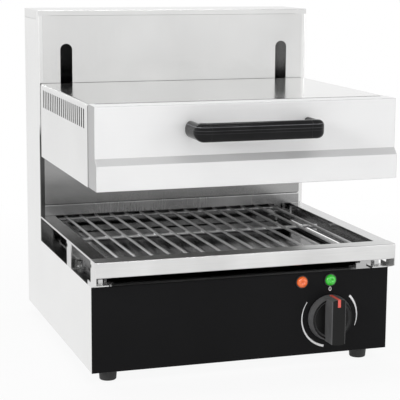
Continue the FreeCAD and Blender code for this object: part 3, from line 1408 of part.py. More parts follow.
def make_controls():
    """Knob, regulator, dial print, lamps, terminal block and cable gland."""
    x = knob_side
    z = knob_height
    back = panel_face - D.knob_gap
    front = back - D.knob_reach
    body = new_body("knob")
    skirt = new_sketch(body, "YZ_Plane", x)
    rim = D.knob_radius
    face = back - D.knob_skirt
    outline(skirt, [
        (back, z),
        (back, z + rim),
        (back - D.knob_skirt_edge, z + rim),
        (face, z + rim - D.knob_bevel),
        (face, z + rim - D.knob_bevel - D.knob_rim),
        (face + D.knob_dish, z + rim - D.knob_bevel - D.knob_rim - D.knob_dish),
        (face + D.knob_dish, z),
    ])
    axis_line = skirt.addGeometry(
        Part.LineSegment(FreeCAD.Vector(float(front), float(z), 0),
                         FreeCAD.Vector(float(back), float(z), 0)), True)
    pin_point(skirt, axis_line, (front, z))
    skirt.addConstraint(Sketcher.Constraint("Horizontal", axis_line))
    index = skirt.addConstraint(Sketcher.Constraint("DistanceX", axis_line, 1, axis_line, 2,
                                                    float(D.knob_reach)))
    skirt.setExpression(f"Constraints[{index}]", D.knob_reach.text)
    revolve(body, skirt, "Axis0")
    grip = new_sketch(body, "XZ_Plane", -front)
    wide = D.knob_grip_width / 2
    end = rim - D.knob_grip_inset
    corner = Size(f"sqrt({end.text} ^ 2 - {wide.text} ^ 2)",
                  math.sqrt(float(end) ** 2 - float(wide) ** 2))
    draw_grip(grip, x, z, end, wide, corner)
    pad(body, grip, D.knob_reach - D.knob_skirt + D.knob_dish, True)
    round_body(body, D.knob_grip_radius, lambda e: near(middle(e).y, front) and runs_along(e, "z"))
    groove = new_sketch(body, "YZ_Plane", x - D.pointer_width / 2)
    outline(groove, pointer_outline(front, back, z + end, D.overrun))
    pocket(body, groove, D.pointer_width, True)
    bore = new_sketch(body, "XZ_Plane", -back)
    hole = bore.addGeometry(Part.Circle(FreeCAD.Vector(float(x), float(z), 0), FreeCAD.Vector(0, 0, 1),
                                        float(D.spindle_radius)))
    for kind, size in (("DistanceX", x), ("DistanceY", z)):
        index = bore.addConstraint(Sketcher.Constraint(kind, -1, 1, hole, 3, float(size)))
        bore.setExpression(f"Constraints[{index}]", size.text)
    index = bore.addConstraint(Sketcher.Constraint("Radius", hole, float(D.spindle_radius)))
    bore.setExpression(f"Constraints[{index}]", D.spindle_radius.text)
    pocket(body, bore, D.spindle_tip, True)

    inlay = new_body("knob_pointer")
    strip = new_sketch(inlay, "YZ_Plane", x - D.pointer_width / 2)
    outline(strip, pointer_outline(front, back, z + end, D.pointer_proud))
    pad(inlay, strip, D.pointer_width)

    neck_back = panel_back + D.regulator_tab_sheet
    spindle_back = neck_back + D.regulator_neck
    spindle = cylinder("knob_spindle", D.spindle_radius, spindle_back - back + D.spindle_tip,
                       (x, back - D.spindle_tip, z), "y")
    keep("knob_spindle", spindle)

    size = D.regulator_size
    case_front = spindle_back
    case = span("energy_regulator", (x - size / 2, x + size / 2),
                (case_front, case_front + D.regulator_depth), (z - size / 2, z + size / 2))
    plate = span("energy_regulator", (x - size / 2 - D.regulator_tab, x + size / 2 + D.regulator_tab),
                 (case_front - D.regulator_tab_sheet, case_front), (z - size / 4, z + size / 4))
    neck = cylinder("energy_regulator", D.regulator_neck_radius - D.seat_gap, case_front - panel_face,
                    (x, panel_face, z), "y")
    nut = cylinder("energy_regulator", D.regulator_neck_radius + D.regulator_tab / 2,
                   case_front - D.regulator_tab_sheet - panel_back, (x, panel_back, z), "y")
    room = cylinder("energy_regulator", D.spindle_radius + D.bore_play,
                    case_front - panel_face + D.overrun, (x, panel_face - D.overrun, z), "y")
    keep("energy_regulator", cut("energy_regulator", fuse("energy_regulator", [case, plate, neck, nut]),
                                 [room]))
    make_dial(x, z)
    make_lamps()

    terminal = span("terminal_block", (-gland_side - D.block_width / 2, -gland_side + D.block_width / 2),
                    (rear - D.block_run - D.block_depth, rear - D.block_run),
                    (D.foot_height + D.sheet, D.foot_height + D.sheet + D.block_height))
    ways = 5
    step = D.block_width / ways
    top = D.foot_height + D.sheet + D.block_height
    grooves = [span("terminal_groove",
                    (-gland_side - D.block_width / 2 + step * i - D.sheet / 2,
                     -gland_side - D.block_width / 2 + step * i + D.sheet / 2),
                    (rear - D.block_run - D.block_depth - D.overrun, rear - D.block_run + D.overrun),
                    (top - D.block_groove, top + D.overrun)) for i in range(1, ways)]
    keep("terminal_block", cut("terminal_block", terminal, grooves))

    gx = -gland_side
    gz = gland_height
    neck = cylinder("cable_gland", D.gland_neck_radius, D.gland_neck, (gx, rear - D.gland_neck, gz), "y")
    hexagon = cylinder("cable_gland", D.gland_radius, D.gland_reach / 2, (gx, rear, gz), "y")
    dome = cone("cable_gland", D.gland_radius, D.gland_radius - D.gland_taper, D.gland_reach / 2,
                (gx, rear + D.gland_reach / 2, gz), "y")
    nut = cylinder("cable_gland", D.gland_radius, D.gland_nut_sheet,
                   (gx, cover_face - D.gland_nut_sheet, gz), "y")
    bore = cylinder("cable_gland", D.gland_bore, D.gland_reach + D.gland_neck + 2 * D.overrun,
                    (gx, rear - D.gland_neck - D.overrun, gz), "y")
    keep("cable_gland", cut("cable_gland", fuse("cable_gland", [neck, hexagon, dome, nut]), [bore]))


def draw_grip(sketch, x, z, rim, wide, corner):
    """Grip bar outline: two straight flanks and two round ends."""
    tops = [(x - wide, z - corner), (x - wide, z + corner), (x + wide, z + corner), (x + wide, z - corner)]
    ends = [FreeCAD.Vector(float(a), float(b), 0) for a, b in tops]
    crown = FreeCAD.Vector(float(x), float(z + rim), 0)
    sole = FreeCAD.Vector(float(x), float(z - rim), 0)
    left = sketch.addGeometry(Part.LineSegment(ends[0], ends[1]), False)
    upper = sketch.addGeometry(Part.Arc(ends[1], crown, ends[2]), False)
    right = sketch.addGeometry(Part.LineSegment(ends[2], ends[3]), False)
    lower = sketch.addGeometry(Part.Arc(ends[3], sole, ends[0]), False)
    # an arc runs counter-clockwise, so its start is the corner that comes first that way
    sketch.addConstraint(Sketcher.Constraint("Coincident", left, 2, upper, 2))
    sketch.addConstraint(Sketcher.Constraint("Coincident", upper, 1, right, 1))
    sketch.addConstraint(Sketcher.Constraint("Coincident", right, 2, lower, 2))
    sketch.addConstraint(Sketcher.Constraint("Coincident", lower, 1, left, 1))
    pin_point(sketch, left, tops[0])
    pin_point(sketch, right, tops[2])
    for arc in (upper, lower):
        index = sketch.addConstraint(Sketcher.Constraint("Radius", arc, float(rim)))
        sketch.setExpression(f"Constraints[{index}]", rim.text)


def pointer_outline(front, back, crown, proud):
    """Red line that runs over the end of the grip and a little down its face."""
    inner_top = crown - D.pointer_depth
    inner_front = front + D.pointer_depth
    start = back - D.pointer_start
    return [
        (start, inner_top),
        (start, crown + proud),
        (front - proud, crown + proud),
        (front - proud, crown - D.pointer_drop),
        (inner_front, crown - D.pointer_drop),
        (inner_front, inner_top),
    ]


def make_dial(x, z):
    """Printed zero and two tapering arcs round the knob."""
    centre = FreeCAD.Vector(float(x), float(panel_face), float(z))
    depth = FreeCAD.Vector(0, -float(D.dial_print), 0)
    radius = float(D.dial_radius)
    thick = float(D.dial_thick)
    thin = float(D.dial_thin)

    def spot(degrees, distance):
        turn = math.radians(degrees)
        return centre + FreeCAD.Vector(distance * math.sin(turn), 0, distance * math.cos(turn))

    solids = []
    for start, stop in (DIAL_FIRST_DEGREES, DIAL_SECOND_DEGREES):
        begin, finish = (thick, thin) if start < stop else (thin, thick)
        half_way = (start + stop) / 2
        mean = (thick + thin) / 2
        outer = Part.Arc(spot(start, radius + begin / 2), spot(half_way, radius + mean / 2),
                         spot(stop, radius + finish / 2)).toShape()
        inner = Part.Arc(spot(start, radius - begin / 2), spot(half_way, radius - mean / 2),
                         spot(stop, radius - finish / 2)).toShape()
        near_end = Part.LineSegment(spot(start, radius - begin / 2),
                                    spot(start, radius + begin / 2)).toShape()
        far_end = Part.LineSegment(spot(stop, radius - finish / 2),
                                   spot(stop, radius + finish / 2)).toShape()
        loop = Part.Wire(Part.__sortEdges__([outer, far_end, inner, near_end]))
        solids.append(Part.Face(loop).extrude(depth))
    middle_spot = centre + FreeCAD.Vector(0, 0, float(D.zero_rise))
    rings = []
    for inset in (0, float(D.zero_stroke)):
        ellipse = Part.Ellipse(middle_spot + FreeCAD.Vector(0, 0, float(D.zero_height) / 2 - inset),
                               middle_spot + FreeCAD.Vector(float(D.zero_width) / 2 - inset, 0, 0),
                               middle_spot)
        rings.append(Part.Wire([ellipse.toShape()]))
    solids.append(Part.Face(rings[0]).cut(Part.Face(rings[1])).extrude(depth))
    fixed("dial_marks", Part.makeCompound(solids))


def make_lamps():
    """Two domed lenses, each in a bezel on a holder behind the panel."""
    holders = []
    z = lamp_height
    for label, x in (("lamp_orange", (half - D.lamp_inset)), ("lamp_green", knob_side)):
        lens_back = panel_face - D.bezel_height
        body = new_body(label)
        sketch = new_sketch(body, "YZ_Plane", x)
        radius = D.lens_radius
        rim_front = lens_back - D.lens_rim
        crown = lens_back - D.lens_dome
        outline(sketch, [
            (lens_back, z),
            (lens_back, z + radius),
            (rim_front, z + radius),
            (rim_front - (rim_front - crown) / 2, z + radius * 3 / 4),
            (crown, z + radius / 3),
            (crown, z),
        ])
        axis_line = sketch.addGeometry(
            Part.LineSegment(FreeCAD.Vector(float(crown), float(z), 0),
                             FreeCAD.Vector(float(lens_back), float(z), 0)), True)
        pin_point(sketch, axis_line, (crown, z))
        sketch.addConstraint(Sketcher.Constraint("Horizontal", axis_line))
        index = sketch.addConstraint(Sketcher.Constraint("DistanceX", axis_line, 1, axis_line, 2,
                                                         float(D.lens_dome)))
        sketch.setExpression(f"Constraints[{index}]", D.lens_dome.text)
        revolve(body, sketch, "Axis0")
        bezel = cylinder("lamp_holder", D.bezel_radius, D.bezel_height, (x, lens_back, z), "y")
        stem = cylinder("lamp_holder", D.holder_radius, D.holder_length, (x, panel_face, z), "y")
        nut = cylinder("lamp_holder", D.holder_nut, D.holder_nut_height, (x, panel_back, z), "y")
        holders.append(fuse("lamp_holder", [bezel, stem, nut]))
    keep("lamp_holders", group("lamp_holders", holders))


def check_and_write():
    """Looks for failed objects, then writes one file for each piece."""
    doc.recompute()
    for thing in doc.Objects:
        if "Invalid" in thing.State or "Error" in thing.State:
            raise ValueError(f"{thing.Name} failed: {thing.State}")
    for label, thing in pieces.items():
        shape = thing.Shape
        if shape.isNull() or not shape.isValid() or not shape.Solids:
            raise ValueError(f"{label}: bad shape")
    os.makedirs("parts", exist_ok=True)
    box = FreeCAD.BoundBox()
    for label, thing in pieces.items():
        thing.Shape.exportStep(f"parts/{label}.step")
        box.add(thing.Shape.BoundBox)
        print(f"{label}: {len(thing.Shape.Solids)} solids, {thing.Shape.Volume / 1000:.1f} cm3")
    print(f"{len(pieces)} pieces, box {box}")


make_side_panels()
make_base()
make_feet()
make_rear_cover()
make_column()
make_rack()
make_grid()
make_tray()
make_column_works()
make_lift()
make_hood()
make_heat()
make_controls()
check_and_write()
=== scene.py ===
import json
import math
import bmesh
import bpy
from mathutils import Matrix, Vector


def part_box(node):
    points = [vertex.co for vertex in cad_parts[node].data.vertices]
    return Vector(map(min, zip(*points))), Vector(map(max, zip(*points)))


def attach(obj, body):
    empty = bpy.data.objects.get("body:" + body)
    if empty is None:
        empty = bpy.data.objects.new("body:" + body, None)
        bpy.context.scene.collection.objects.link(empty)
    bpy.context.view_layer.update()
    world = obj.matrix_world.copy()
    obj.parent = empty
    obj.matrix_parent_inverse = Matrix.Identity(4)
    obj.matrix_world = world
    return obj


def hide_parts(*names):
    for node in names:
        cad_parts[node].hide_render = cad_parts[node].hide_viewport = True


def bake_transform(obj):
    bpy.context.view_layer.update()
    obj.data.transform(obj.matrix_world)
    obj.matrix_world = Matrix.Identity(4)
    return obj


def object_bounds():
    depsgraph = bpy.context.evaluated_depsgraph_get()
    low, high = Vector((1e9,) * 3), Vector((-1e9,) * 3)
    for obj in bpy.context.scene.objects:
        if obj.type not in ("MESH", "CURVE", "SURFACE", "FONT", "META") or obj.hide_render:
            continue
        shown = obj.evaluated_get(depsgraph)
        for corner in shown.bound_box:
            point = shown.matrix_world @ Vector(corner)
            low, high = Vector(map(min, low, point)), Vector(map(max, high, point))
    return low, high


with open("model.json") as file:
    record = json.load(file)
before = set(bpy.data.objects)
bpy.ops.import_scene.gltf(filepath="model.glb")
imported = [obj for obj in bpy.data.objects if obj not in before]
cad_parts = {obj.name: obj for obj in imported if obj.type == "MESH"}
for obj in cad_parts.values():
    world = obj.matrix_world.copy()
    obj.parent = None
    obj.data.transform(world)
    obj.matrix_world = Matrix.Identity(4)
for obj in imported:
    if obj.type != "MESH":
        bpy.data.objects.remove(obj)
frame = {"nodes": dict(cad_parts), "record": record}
cad_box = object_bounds()

MM = 0.001
TOP = cad_box[1][2]

# Directions
LEFT = (-1, 0, 0)
RIGHT = (1, 0, 0)
FRONT = (0, -1, 0)
BACK = (0, 1, 0)
UP = (0, 0, 1)
DOWN = (0, 0, -1)
FRONT_AND_UP = (0, -math.sqrt(0.5), math.sqrt(0.5))

# Camera, fitted to the corners of the case in the photograph
PHOTO_WIDTH = 400  # pixels
FOCAL_LENGTH = 1379  # pixels
EYE = (-0.669, -1.991, 0.596)
YAW, PITCH, ROLL = 18.48, 10.14, -0.39  # degrees
SENSOR_WIDTH = 36.0
CAMERA_REACH = 60


def make_camera():
    """Camera at the photograph's angle."""
    yaw, pitch, roll = (math.radians(angle) for angle in (YAW, PITCH, ROLL))
    forward = Vector((math.sin(yaw) * math.cos(pitch), math.cos(yaw) * math.cos(pitch), -math.sin(pitch)))
    right = Vector((math.cos(yaw), -math.sin(yaw), 0))
    up = right.cross(forward)
    turned_right = right * math.cos(roll) - up * math.sin(roll)
    turned_up = up * math.cos(roll) + right * math.sin(roll)
    data = bpy.data.cameras.new("camera")
    data.sensor_width = SENSOR_WIDTH
    data.lens = FOCAL_LENGTH / PHOTO_WIDTH * SENSOR_WIDTH
    data.clip_end = CAMERA_REACH
    camera = bpy.data.objects.new("camera", data)
    turn = Matrix((turned_right, turned_up, -forward)).transposed()
    camera.matrix_world = Matrix.Translation(Vector(EYE)) @ turn.to_4x4()
    bpy.context.collection.objects.link(camera)
    bpy.context.scene.camera = camera
    bpy.context.scene.view_settings.view_transform = "Standard"


# Shader nodes, for materials and the world
START, STOP = 0.3, 0.7  # the stretch that most values of a noise lie in


def feed(tree, place, value):
    """Joins another node's output to a place, or sets a number, vector or colour there."""
    if isinstance(value, bpy.types.NodeSocket):
        tree.links.new(value, place)
    elif place.type == "RGBA":
        place.default_value = (*value, 1)
    else:
        place.default_value = value


def add_ramp(tree, value, first, second, start, stop):
    """A colour that goes from the first to the second while a value goes from start to stop."""
    node = tree.nodes.new("ShaderNodeValToRGB")
    for element, position, colour in zip(node.color_ramp.elements, (start, stop), (first, second)):
        element.position = position
        element.color = (*colour, 1)
    feed(tree, node.inputs["Fac"], value)
    return node.outputs["Color"]


def add_mix(tree, share, first, second, blend="MIX"):
    """A colour that goes from the first to its mix with the second while a share goes from 0 to 1."""
    node = tree.nodes.new("ShaderNodeMix")
    node.data_type = "RGBA"
    node.blend_type = blend
    feed(tree, node.inputs["Factor"], share)
    places = [place for place in node.inputs if place.type == "RGBA"]
    for place, value in zip(places, (first, second)):
        feed(tree, place, value)
    return next(place for place in node.outputs if place.type == "RGBA")


def grey(value):
    return (value, value, value)


def steel(value):
    """A grey with slightly less blue."""
    return (value, value, value - 0.005)


def shade(colour, factor):
    return tuple(min(1.0, channel * factor) for channel in colour)


MATERIALS = {}  # by name


class Graph:
    """A material whose nodes are added and joined by short calls, kept by its name in MATERIALS."""

    def __init__(self, name):
        MATERIALS[name] = bpy.data.materials.new(name)
        MATERIALS[name].use_nodes = True
        self.tree = MATERIALS[name].node_tree
        self.bsdf = self.tree.nodes["Principled BSDF"]
        places = self.add("ShaderNodeTexCoord").outputs
        self.coords = places["Object"]
        self.facing = places["Normal"]

    def feed_named(self, node, name, value):
        """Feeds an inlet by its name, which has _ for a space."""
        feed(self.tree, node.inputs[name.replace("_", " ")], value)

    def set(self, **values):
        """Gives the shader's inlets their values."""
        for name, value in values.items():
            self.feed_named(self.bsdf, name, value)

    def add(self, kind, **values):
        """Adds a node and gives its settings and inlets their values."""
        node = self.tree.nodes.new(kind)
        for name, value in values.items():
            if hasattr(node, name):
                setattr(node, name, value)
            else:
                self.feed_named(node, name, value)
        return node

    def calc(self, operation, *values, kind="ShaderNodeMath"):
        """The result of a sum, such as MULTIPLY or ABSOLUTE."""
        node = self.add(kind, operation=operation)
        for place, value in zip(node.inputs, values):
            feed(self.tree, place, value)
        return node.outputs["Value"]

    def noise(self, scale, detail=3, rough=0.55, stretch=(1, 1, 1)):
        place = self.add("ShaderNodeMapping", Scale=stretch, Vector=self.coords).outputs["Vector"]
        node = self.add("ShaderNodeTexNoise", Scale=scale, Detail=detail, Roughness=rough, Vector=place)
        return node.outputs["Fac"]

    def along(self, axis):
        """The place along X, Y or Z."""
        return self.add("ShaderNodeSeparateXYZ", Vector=self.coords).outputs[axis]

    def distance(self, value, place):
        """How far a value is from a place, on either side."""
        return self.calc("ABSOLUTE", self.calc("SUBTRACT", value, place))

    def ramp(self, value, low, high, start=START, stop=STOP):
        """A number that goes from low to high while a value goes from start to stop."""
        return self.add("ShaderNodeMapRange", Value=value, From_Min=start, From_Max=stop,
                        To_Min=low, To_Max=high).outputs["Result"]

    def tint(self, value, first, second, start=START, stop=STOP):
        """The same for a colour."""
        return add_ramp(self.tree, value, first, second, start, stop)

    def varied(self, value, base, least, most, start=START, stop=STOP):
        """The same for a colour or number that goes from least to most times its base."""
        if isinstance(base, tuple):
            return self.tint(value, shade(base, least), shade(base, most), start, stop)
        return self.ramp(value, base * least, base * most, start, stop)

    def share_along(self, axis, full, none):
        """Is 1 up to one place on an axis and fades to 0 at a second."""
        return self.ramp(self.along(axis), 1, 0, full, none)

    def share_facing(self, direction, start=START, stop=STOP):
        """Is 1 on the faces that look in one direction."""
        likeness = self.calc("DOT_PRODUCT", self.facing, direction, kind="ShaderNodeVectorMath")
        return self.ramp(likeness, 0, 1, start, stop)

    def gained(self, colour, share, gain):
        """Multiplies a colour by a gain where a share is 1."""
        return add_mix(self.tree, share, colour, grey(gain), "MULTIPLY")

    def tinted(self, colour, gain, place=None, facing=None, reach=(START, STOP)):
        """Multiplies a colour by a gain at a place, on the faces that look one way, or where both meet."""
        shares = []
        if place:
            shares.append(self.share_along(*place))
        if facing:
            shares.append(self.share_facing(facing, *reach))
        share = self.calc("MULTIPLY", *shares) if place and facing else shares[0]
        return self.gained(colour, share, gain)

    def bump(self, value, strength, distance):
        """Adds relief to any that the shader has already."""
        place = self.bsdf.inputs["Normal"]
        node = self.add("ShaderNodeBump", Strength=strength, Distance=distance, Height=value)
        if place.is_linked:
            feed(self.tree, node.inputs["Normal"], place.links[0].from_socket)
        feed(self.tree, place, node.outputs["Normal"])


# Materials
BRUSHING = 0.02  # scale of the noise along the brush lines, beside 1 across them
STRETCH = {"x": (BRUSHING, 1, 1), "y": (1, BRUSHING, 1), "z": (1, 1, BRUSHING)}
LINE_WEIGHT = 0.35  # of the brush lines, beside 1 of the clouds


def brushed(name, colour, rough, axis, grain=0.05, cloud=0.04, metal=1.0, tints=()):
    """Sheet metal with brush lines along one axis, faint clouds, and painted light and shade at places and on
    sides.
    """
    g = Graph(name)
    lines = g.noise(scale=900, detail=4, rough=0.6, stretch=STRETCH[axis])
    mixed = g.calc("MULTIPLY_ADD", lines, LINE_WEIGHT, g.noise(scale=9, rough=0.5))
    tone = g.varied(mixed, colour, least=1 - cloud, most=1 + cloud, start=0.45, stop=0.9)
    for tint in tints:
        tone = g.tinted(tone, **tint)
    worn = g.varied(mixed, rough, least=0.8, most=1.25, start=0.45, stop=0.9)
    g.set(Base_Color=tone, Roughness=worn, Metallic=metal)
    g.bump(lines, strength=grain, distance=0.4 * MM)
    g.bump(g.noise(scale=4, detail=1, rough=0.4), strength=0.05, distance=10 * MM)


def plastic(name, colour, rough, grain=0.06, scale=1400, sheen=0.5, front_shade_gain=None):
    """Moulded plastic with a fine grain and slight tone changes, and painted shade on its front if wanted, so
    its sides look lit.
    """
    g = Graph(name)
    broad = g.noise(scale=30, detail=2, rough=0.5)
    tone = g.varied(broad, colour, least=0.85, most=1.15)
    if front_shade_gain:
        # Painted shade: the front faces are darkened by this gain, so that the sides look lit
        tone = g.tinted(tone, front_shade_gain, facing=FRONT, reach=(0.9, 0.97))
    g.set(Base_Color=tone, Roughness=g.varied(broad, rough, least=0.85, most=1.15), Specular_IOR_Level=sheen)
    g.bump(g.noise(scale, detail=4, rough=0.6), strength=grain, distance=0.3 * MM)


def rubber(name, colour):
    """Black rubber with dust in its grain."""
    g = Graph(name)
    dust = g.noise(scale=160, detail=5, rough=0.65)
    tone = g.varied(dust, colour, least=1, most=2.2, start=0.45, stop=0.8)
    g.set(Base_Color=tone, Roughness=g.ramp(dust, low=0.55, high=0.8))
    g.bump(g.noise(scale=2200), strength=0.2, distance=0.3 * MM)


def chrome(name, colour, rough, metal=1.0):
    """Bright turned or plated metal with faint spots."""
    g = Graph(name)
    spots = g.noise(scale=220, detail=4, rough=0.6)
    g.set(Base_Color=g.varied(spots, colour, least=0.93, most=1),
          Roughness=g.varied(spots, rough, least=0.7, most=1.5), Metallic=metal)
    g.bump(g.noise(scale=300, detail=2), strength=0.04, distance=0.4 * MM)


def painted(name, colour, rough, grain, sheen=0.5):
    """Satin powder coat or print: orange-peel grain and a soft sheen."""
    g = Graph(name)
    broad = g.noise(scale=6, rough=0.5)
    g.set(Base_Color=g.varied(broad, colour, least=0.85, most=1.25),
          Roughness=g.varied(broad, rough, least=0.9, most=1.12), Specular_IOR_Level=sheen)
    g.bump(g.noise(scale=700, rough=0.5), strength=grain, distance=0.4 * MM)


def cast(name, colour):
    """Raw cast metal with pits."""
    g = Graph(name)
    pits = g.noise(scale=420, detail=6, rough=0.7)
    g.set(Base_Color=g.varied(pits, colour, least=0.6, most=1.5), Roughness=g.ramp(pits, low=0.55, high=0.85),
          Metallic=0.6)
    g.bump(pits, strength=0.6, distance=1.2 * MM)


def woven(name, colour, scale):
    """Braided or felted fibre, or fine wire strands."""
    g = Graph(name)
    weave = g.add("ShaderNodeTexWave", Scale=scale / 3, Distortion=2, bands_direction="DIAGONAL",
                  Vector=g.coords).outputs["Fac"]
    mixed = g.calc("MULTIPLY", weave, g.noise(scale, detail=5, rough=0.65))
    g.set(Base_Color=g.varied(mixed, colour, least=0.7, most=1, start=0.1, stop=0.5), Roughness=0.9,
          Sheen_Weight=0.2)
    g.bump(mixed, strength=0.5, distance=0.8 * MM)


def zinc(name, colour):
    """Zinc-coated sheet with its spangle."""
    g = Graph(name)
    cells = g.add("ShaderNodeTexVoronoi", Scale=90, Vector=g.coords).outputs["Color"]
    g.set(Base_Color=g.varied(cells, colour, least=0.82, most=1.12, start=0.1, stop=0.9),
          Roughness=g.ramp(cells, low=0.3, high=0.5, start=0, stop=1), Metallic=1)
    g.bump(g.noise(scale=300), strength=0.08, distance=0.4 * MM)


def heated(name, brown, blue):
    """Heater sheath with temper colours."""
    g = Graph(name)
    temper = g.noise(scale=26, detail=4, rough=0.6)
    g.set(Base_Color=g.tint(temper, brown, blue), Roughness=g.ramp(temper, low=0.35, high=0.6), Metallic=0.85)
    g.bump(g.noise(scale=900, detail=4), strength=0.2, distance=0.3 * MM)


def lens(name, colour):
    """Coloured lens of a pilot lamp, with a faint glow."""
    g = Graph(name)
    broad = g.noise(scale=260, detail=2, rough=0.5)
    g.set(Base_Color=g.varied(broad, colour, least=0.8, most=1.1), Roughness=0.12, Emission_Color=colour,
          Emission_Strength=0.12, Coat_Weight=1, Coat_Roughness=0.05)
    g.bump(g.noise(scale=1200, detail=2), strength=0.05, distance=0.2 * MM)


# Handle: its end pieces, the grooves beside them, and the height, width and gain of its painted highlight
# lines
HANDLE_END = 22 * MM
HANDLE_GROOVE = 0.6 * MM
HANDLE_HIGHLIGHTS = ((7.6 * MM, 0.45 * MM, 16), (2.6 * MM, 0.3 * MM, 7), (-1.4 * MM, 0.25 * MM, 4))


def moulded(name):
    """Glossy black plastic of the handle, with painted highlight lines along its bow and grooves beside its
    end pieces.
    """
    g = Graph(name)
    low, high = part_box("handle")
    broad = g.noise(scale=40, detail=2, rough=0.5)
    tone = g.tint(broad, (0.006, 0.006, 0.0065), (0.01, 0.01, 0.0105))
    # Painted highlights: bands along the bow made lighter by their gains
    for rise, width, gain in HANDLE_HIGHLIGHTS:
        away = g.distance(g.along("Z"), (low[2] + high[2]) / 2 + rise)
        tone = g.gained(tone, g.ramp(away, 1, 0, start=0.5 * width, stop=1.5 * width), gain)
    g.set(Base_Color=tone, Roughness=g.ramp(broad, low=0.05, high=0.09), Specular_IOR_Level=0.16)
    away = g.distance(g.calc("ABSOLUTE", g.along("X")), high[0] - HANDLE_END)
    g.bump(g.ramp(away, 0, 1, start=0, stop=HANDLE_GROOVE), strength=0.8, distance=0.8 * MM)
    g.bump(g.noise(scale=900, rough=0.6), strength=0.02, distance=0.2 * MM)


# Places of painted shade and highlight: the axis, where the tint is still full and where it has faded
LINE = 1.2 * MM  # painted shadow line beside a joint; also the painted highlight on the splash's edge
FADE = 0.6 * MM  # its soft edge
HOOD_FRONT, HOOD_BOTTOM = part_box("hood_front")[0][1:]
SPLASH_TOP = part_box("splash_strip")[1][2]
# Painted shadow lines beside the hood's and the splash's joints
HOOD_JOINT_SHADOW = ("Y", HOOD_FRONT + LINE, HOOD_FRONT + LINE + FADE)
SPLASH_JOINT_SHADOW = ("Z", SPLASH_TOP + LINE, SPLASH_TOP + LINE + FADE)
# Painted shade on the splash below its top edge, which leaves a painted highlight on that edge
SPLASH_SHADE_BELOW_EDGE = ("Z", SPLASH_TOP - LINE - FADE, SPLASH_TOP - LINE)
# Painted shade on the column front below the hood, and on the left panel's front edge there
PANEL_SHADE_BELOW_HOOD = ("Z", HOOD_BOTTOM + 5 * MM, HOOD_BOTTOM + 55 * MM)
EDGE_SHADE_BELOW_HOOD = ("Z", HOOD_BOTTOM + 30 * MM, HOOD_BOTTOM + 50 * MM)


def shaded_inside(direction):
    """Painted shade on the faces that look into the column."""
    return dict(gain=0.28, facing=direction)


def make_metals():
    """Metals, by the record's slot."""
    brushed("stainless", steel(0.8), rough=0.2, axis="z")
    # Painted shade on the side faces and on the faces that slope up towards the front
    brushed("stainless_front", steel(0.91), rough=0.55, axis="x", cloud=0.02, metal=0.28, tints=[
        dict(gain=0.55, facing=LEFT), dict(gain=0.55, facing=RIGHT),
        dict(gain=0.76, facing=FRONT_AND_UP, reach=(0.85, 0.95))])
    # Splash: painted shade below its top edge, which leaves a painted highlight along that edge
    brushed("stainless_bright", grey(0.7), rough=0.26, axis="z", grain=0.06, cloud=0.16,
            tints=[dict(gain=0.5, place=SPLASH_SHADE_BELOW_EDGE)])
    # A darker copy of the steel: painted shade on the inner sheets under the hood
    brushed("stainless_inner", grey(0.25), rough=0.2, axis="z", grain=0.08)
    brushed("rack_steel", grey(0.55), rough=0.14, axis="y", grain=0.02)
    brushed("bar_steel", steel(0.7), rough=0.34, axis="x", grain=0.14, cloud=0.1)
    # Tray and deck: steel darkened as painted shade under the hood and the grid
    brushed("tray_steel", grey(0.2), rough=0.1, axis="x", grain=0.02)
    brushed("deck_steel", grey(0.24), rough=0.14, axis="x", grain=0.03)
    brushed("pulley_alloy", (0.72, 0.73, 0.74), rough=0.3, axis="x")
    brushed("reflector_steel", (0.2, 0.195, 0.19), rough=0.25, axis="x", grain=0.03)
    brushed("support_steel", grey(0.6), rough=0.25, axis="y")
    brushed("spindle_brass", (0.72, 0.55, 0.28), rough=0.25, axis="y")
    zinc("galvanised", (0.6, 0.62, 0.64))
    # A darker copy of the zinc sheet: painted shade inside the column
    zinc("carriage_steel", (0.3, 0.31, 0.32))
    chrome("screw_steel", grey(0.62), rough=0.22)
    chrome("chrome_wire", grey(1), rough=0.17, metal=0.5)
    chrome("guide_steel", grey(0.72), rough=0.1)
    cast("cast_weight", (0.1, 0.1, 0.11))
    heated("heater_sheath", brown=(0.1, 0.085, 0.07), blue=(0.17, 0.15, 0.15))
    woven("cable_steel", (0.35, 0.35, 0.36), scale=2400)


def make_other_materials():
    """Fibre, paint, rubber, plastic and lenses, by the record's slot."""
    woven("sleeve_fabric", (0.75, 0.71, 0.62), scale=900)
    woven("wool", (0.82, 0.8, 0.74), scale=500)
    painted("black_panel", (0.006, 0.006, 0.0065), rough=0.4, grain=0.06, sheen=0.09)
    painted("print_white", grey(0.8), rough=0.5, grain=0.03)
    rubber("foot_rubber", grey(0.02))
    rubber("grommet_rubber", grey(0.02))
    moulded("handle_plastic")
    # Knob: its grey is painted light on the sides, and its front faces get painted shade
    plastic("knob_plastic", (0.11, 0.11, 0.111), rough=0.36, grain=0.04, scale=1100, sheen=0.25,
            front_shade_gain=0.03)
    plastic("pointer_red", (0.9, 0.13, 0.1), rough=0.3)
    plastic("bush_plastic", (0.8, 0.79, 0.74), rough=0.45)
    plastic("terminal_plastic", (0.8, 0.79, 0.74), rough=0.5)
    plastic("regulator_plastic", grey(0.1), rough=0.5)
    plastic("holder_plastic", grey(0.03), rough=0.4)
    plastic("gland_plastic", grey(0.03), rough=0.42)
    lens("lens_orange", (1, 0.15, 0.012))
    lens("lens_green", (0.03, 0.6, 0.03))


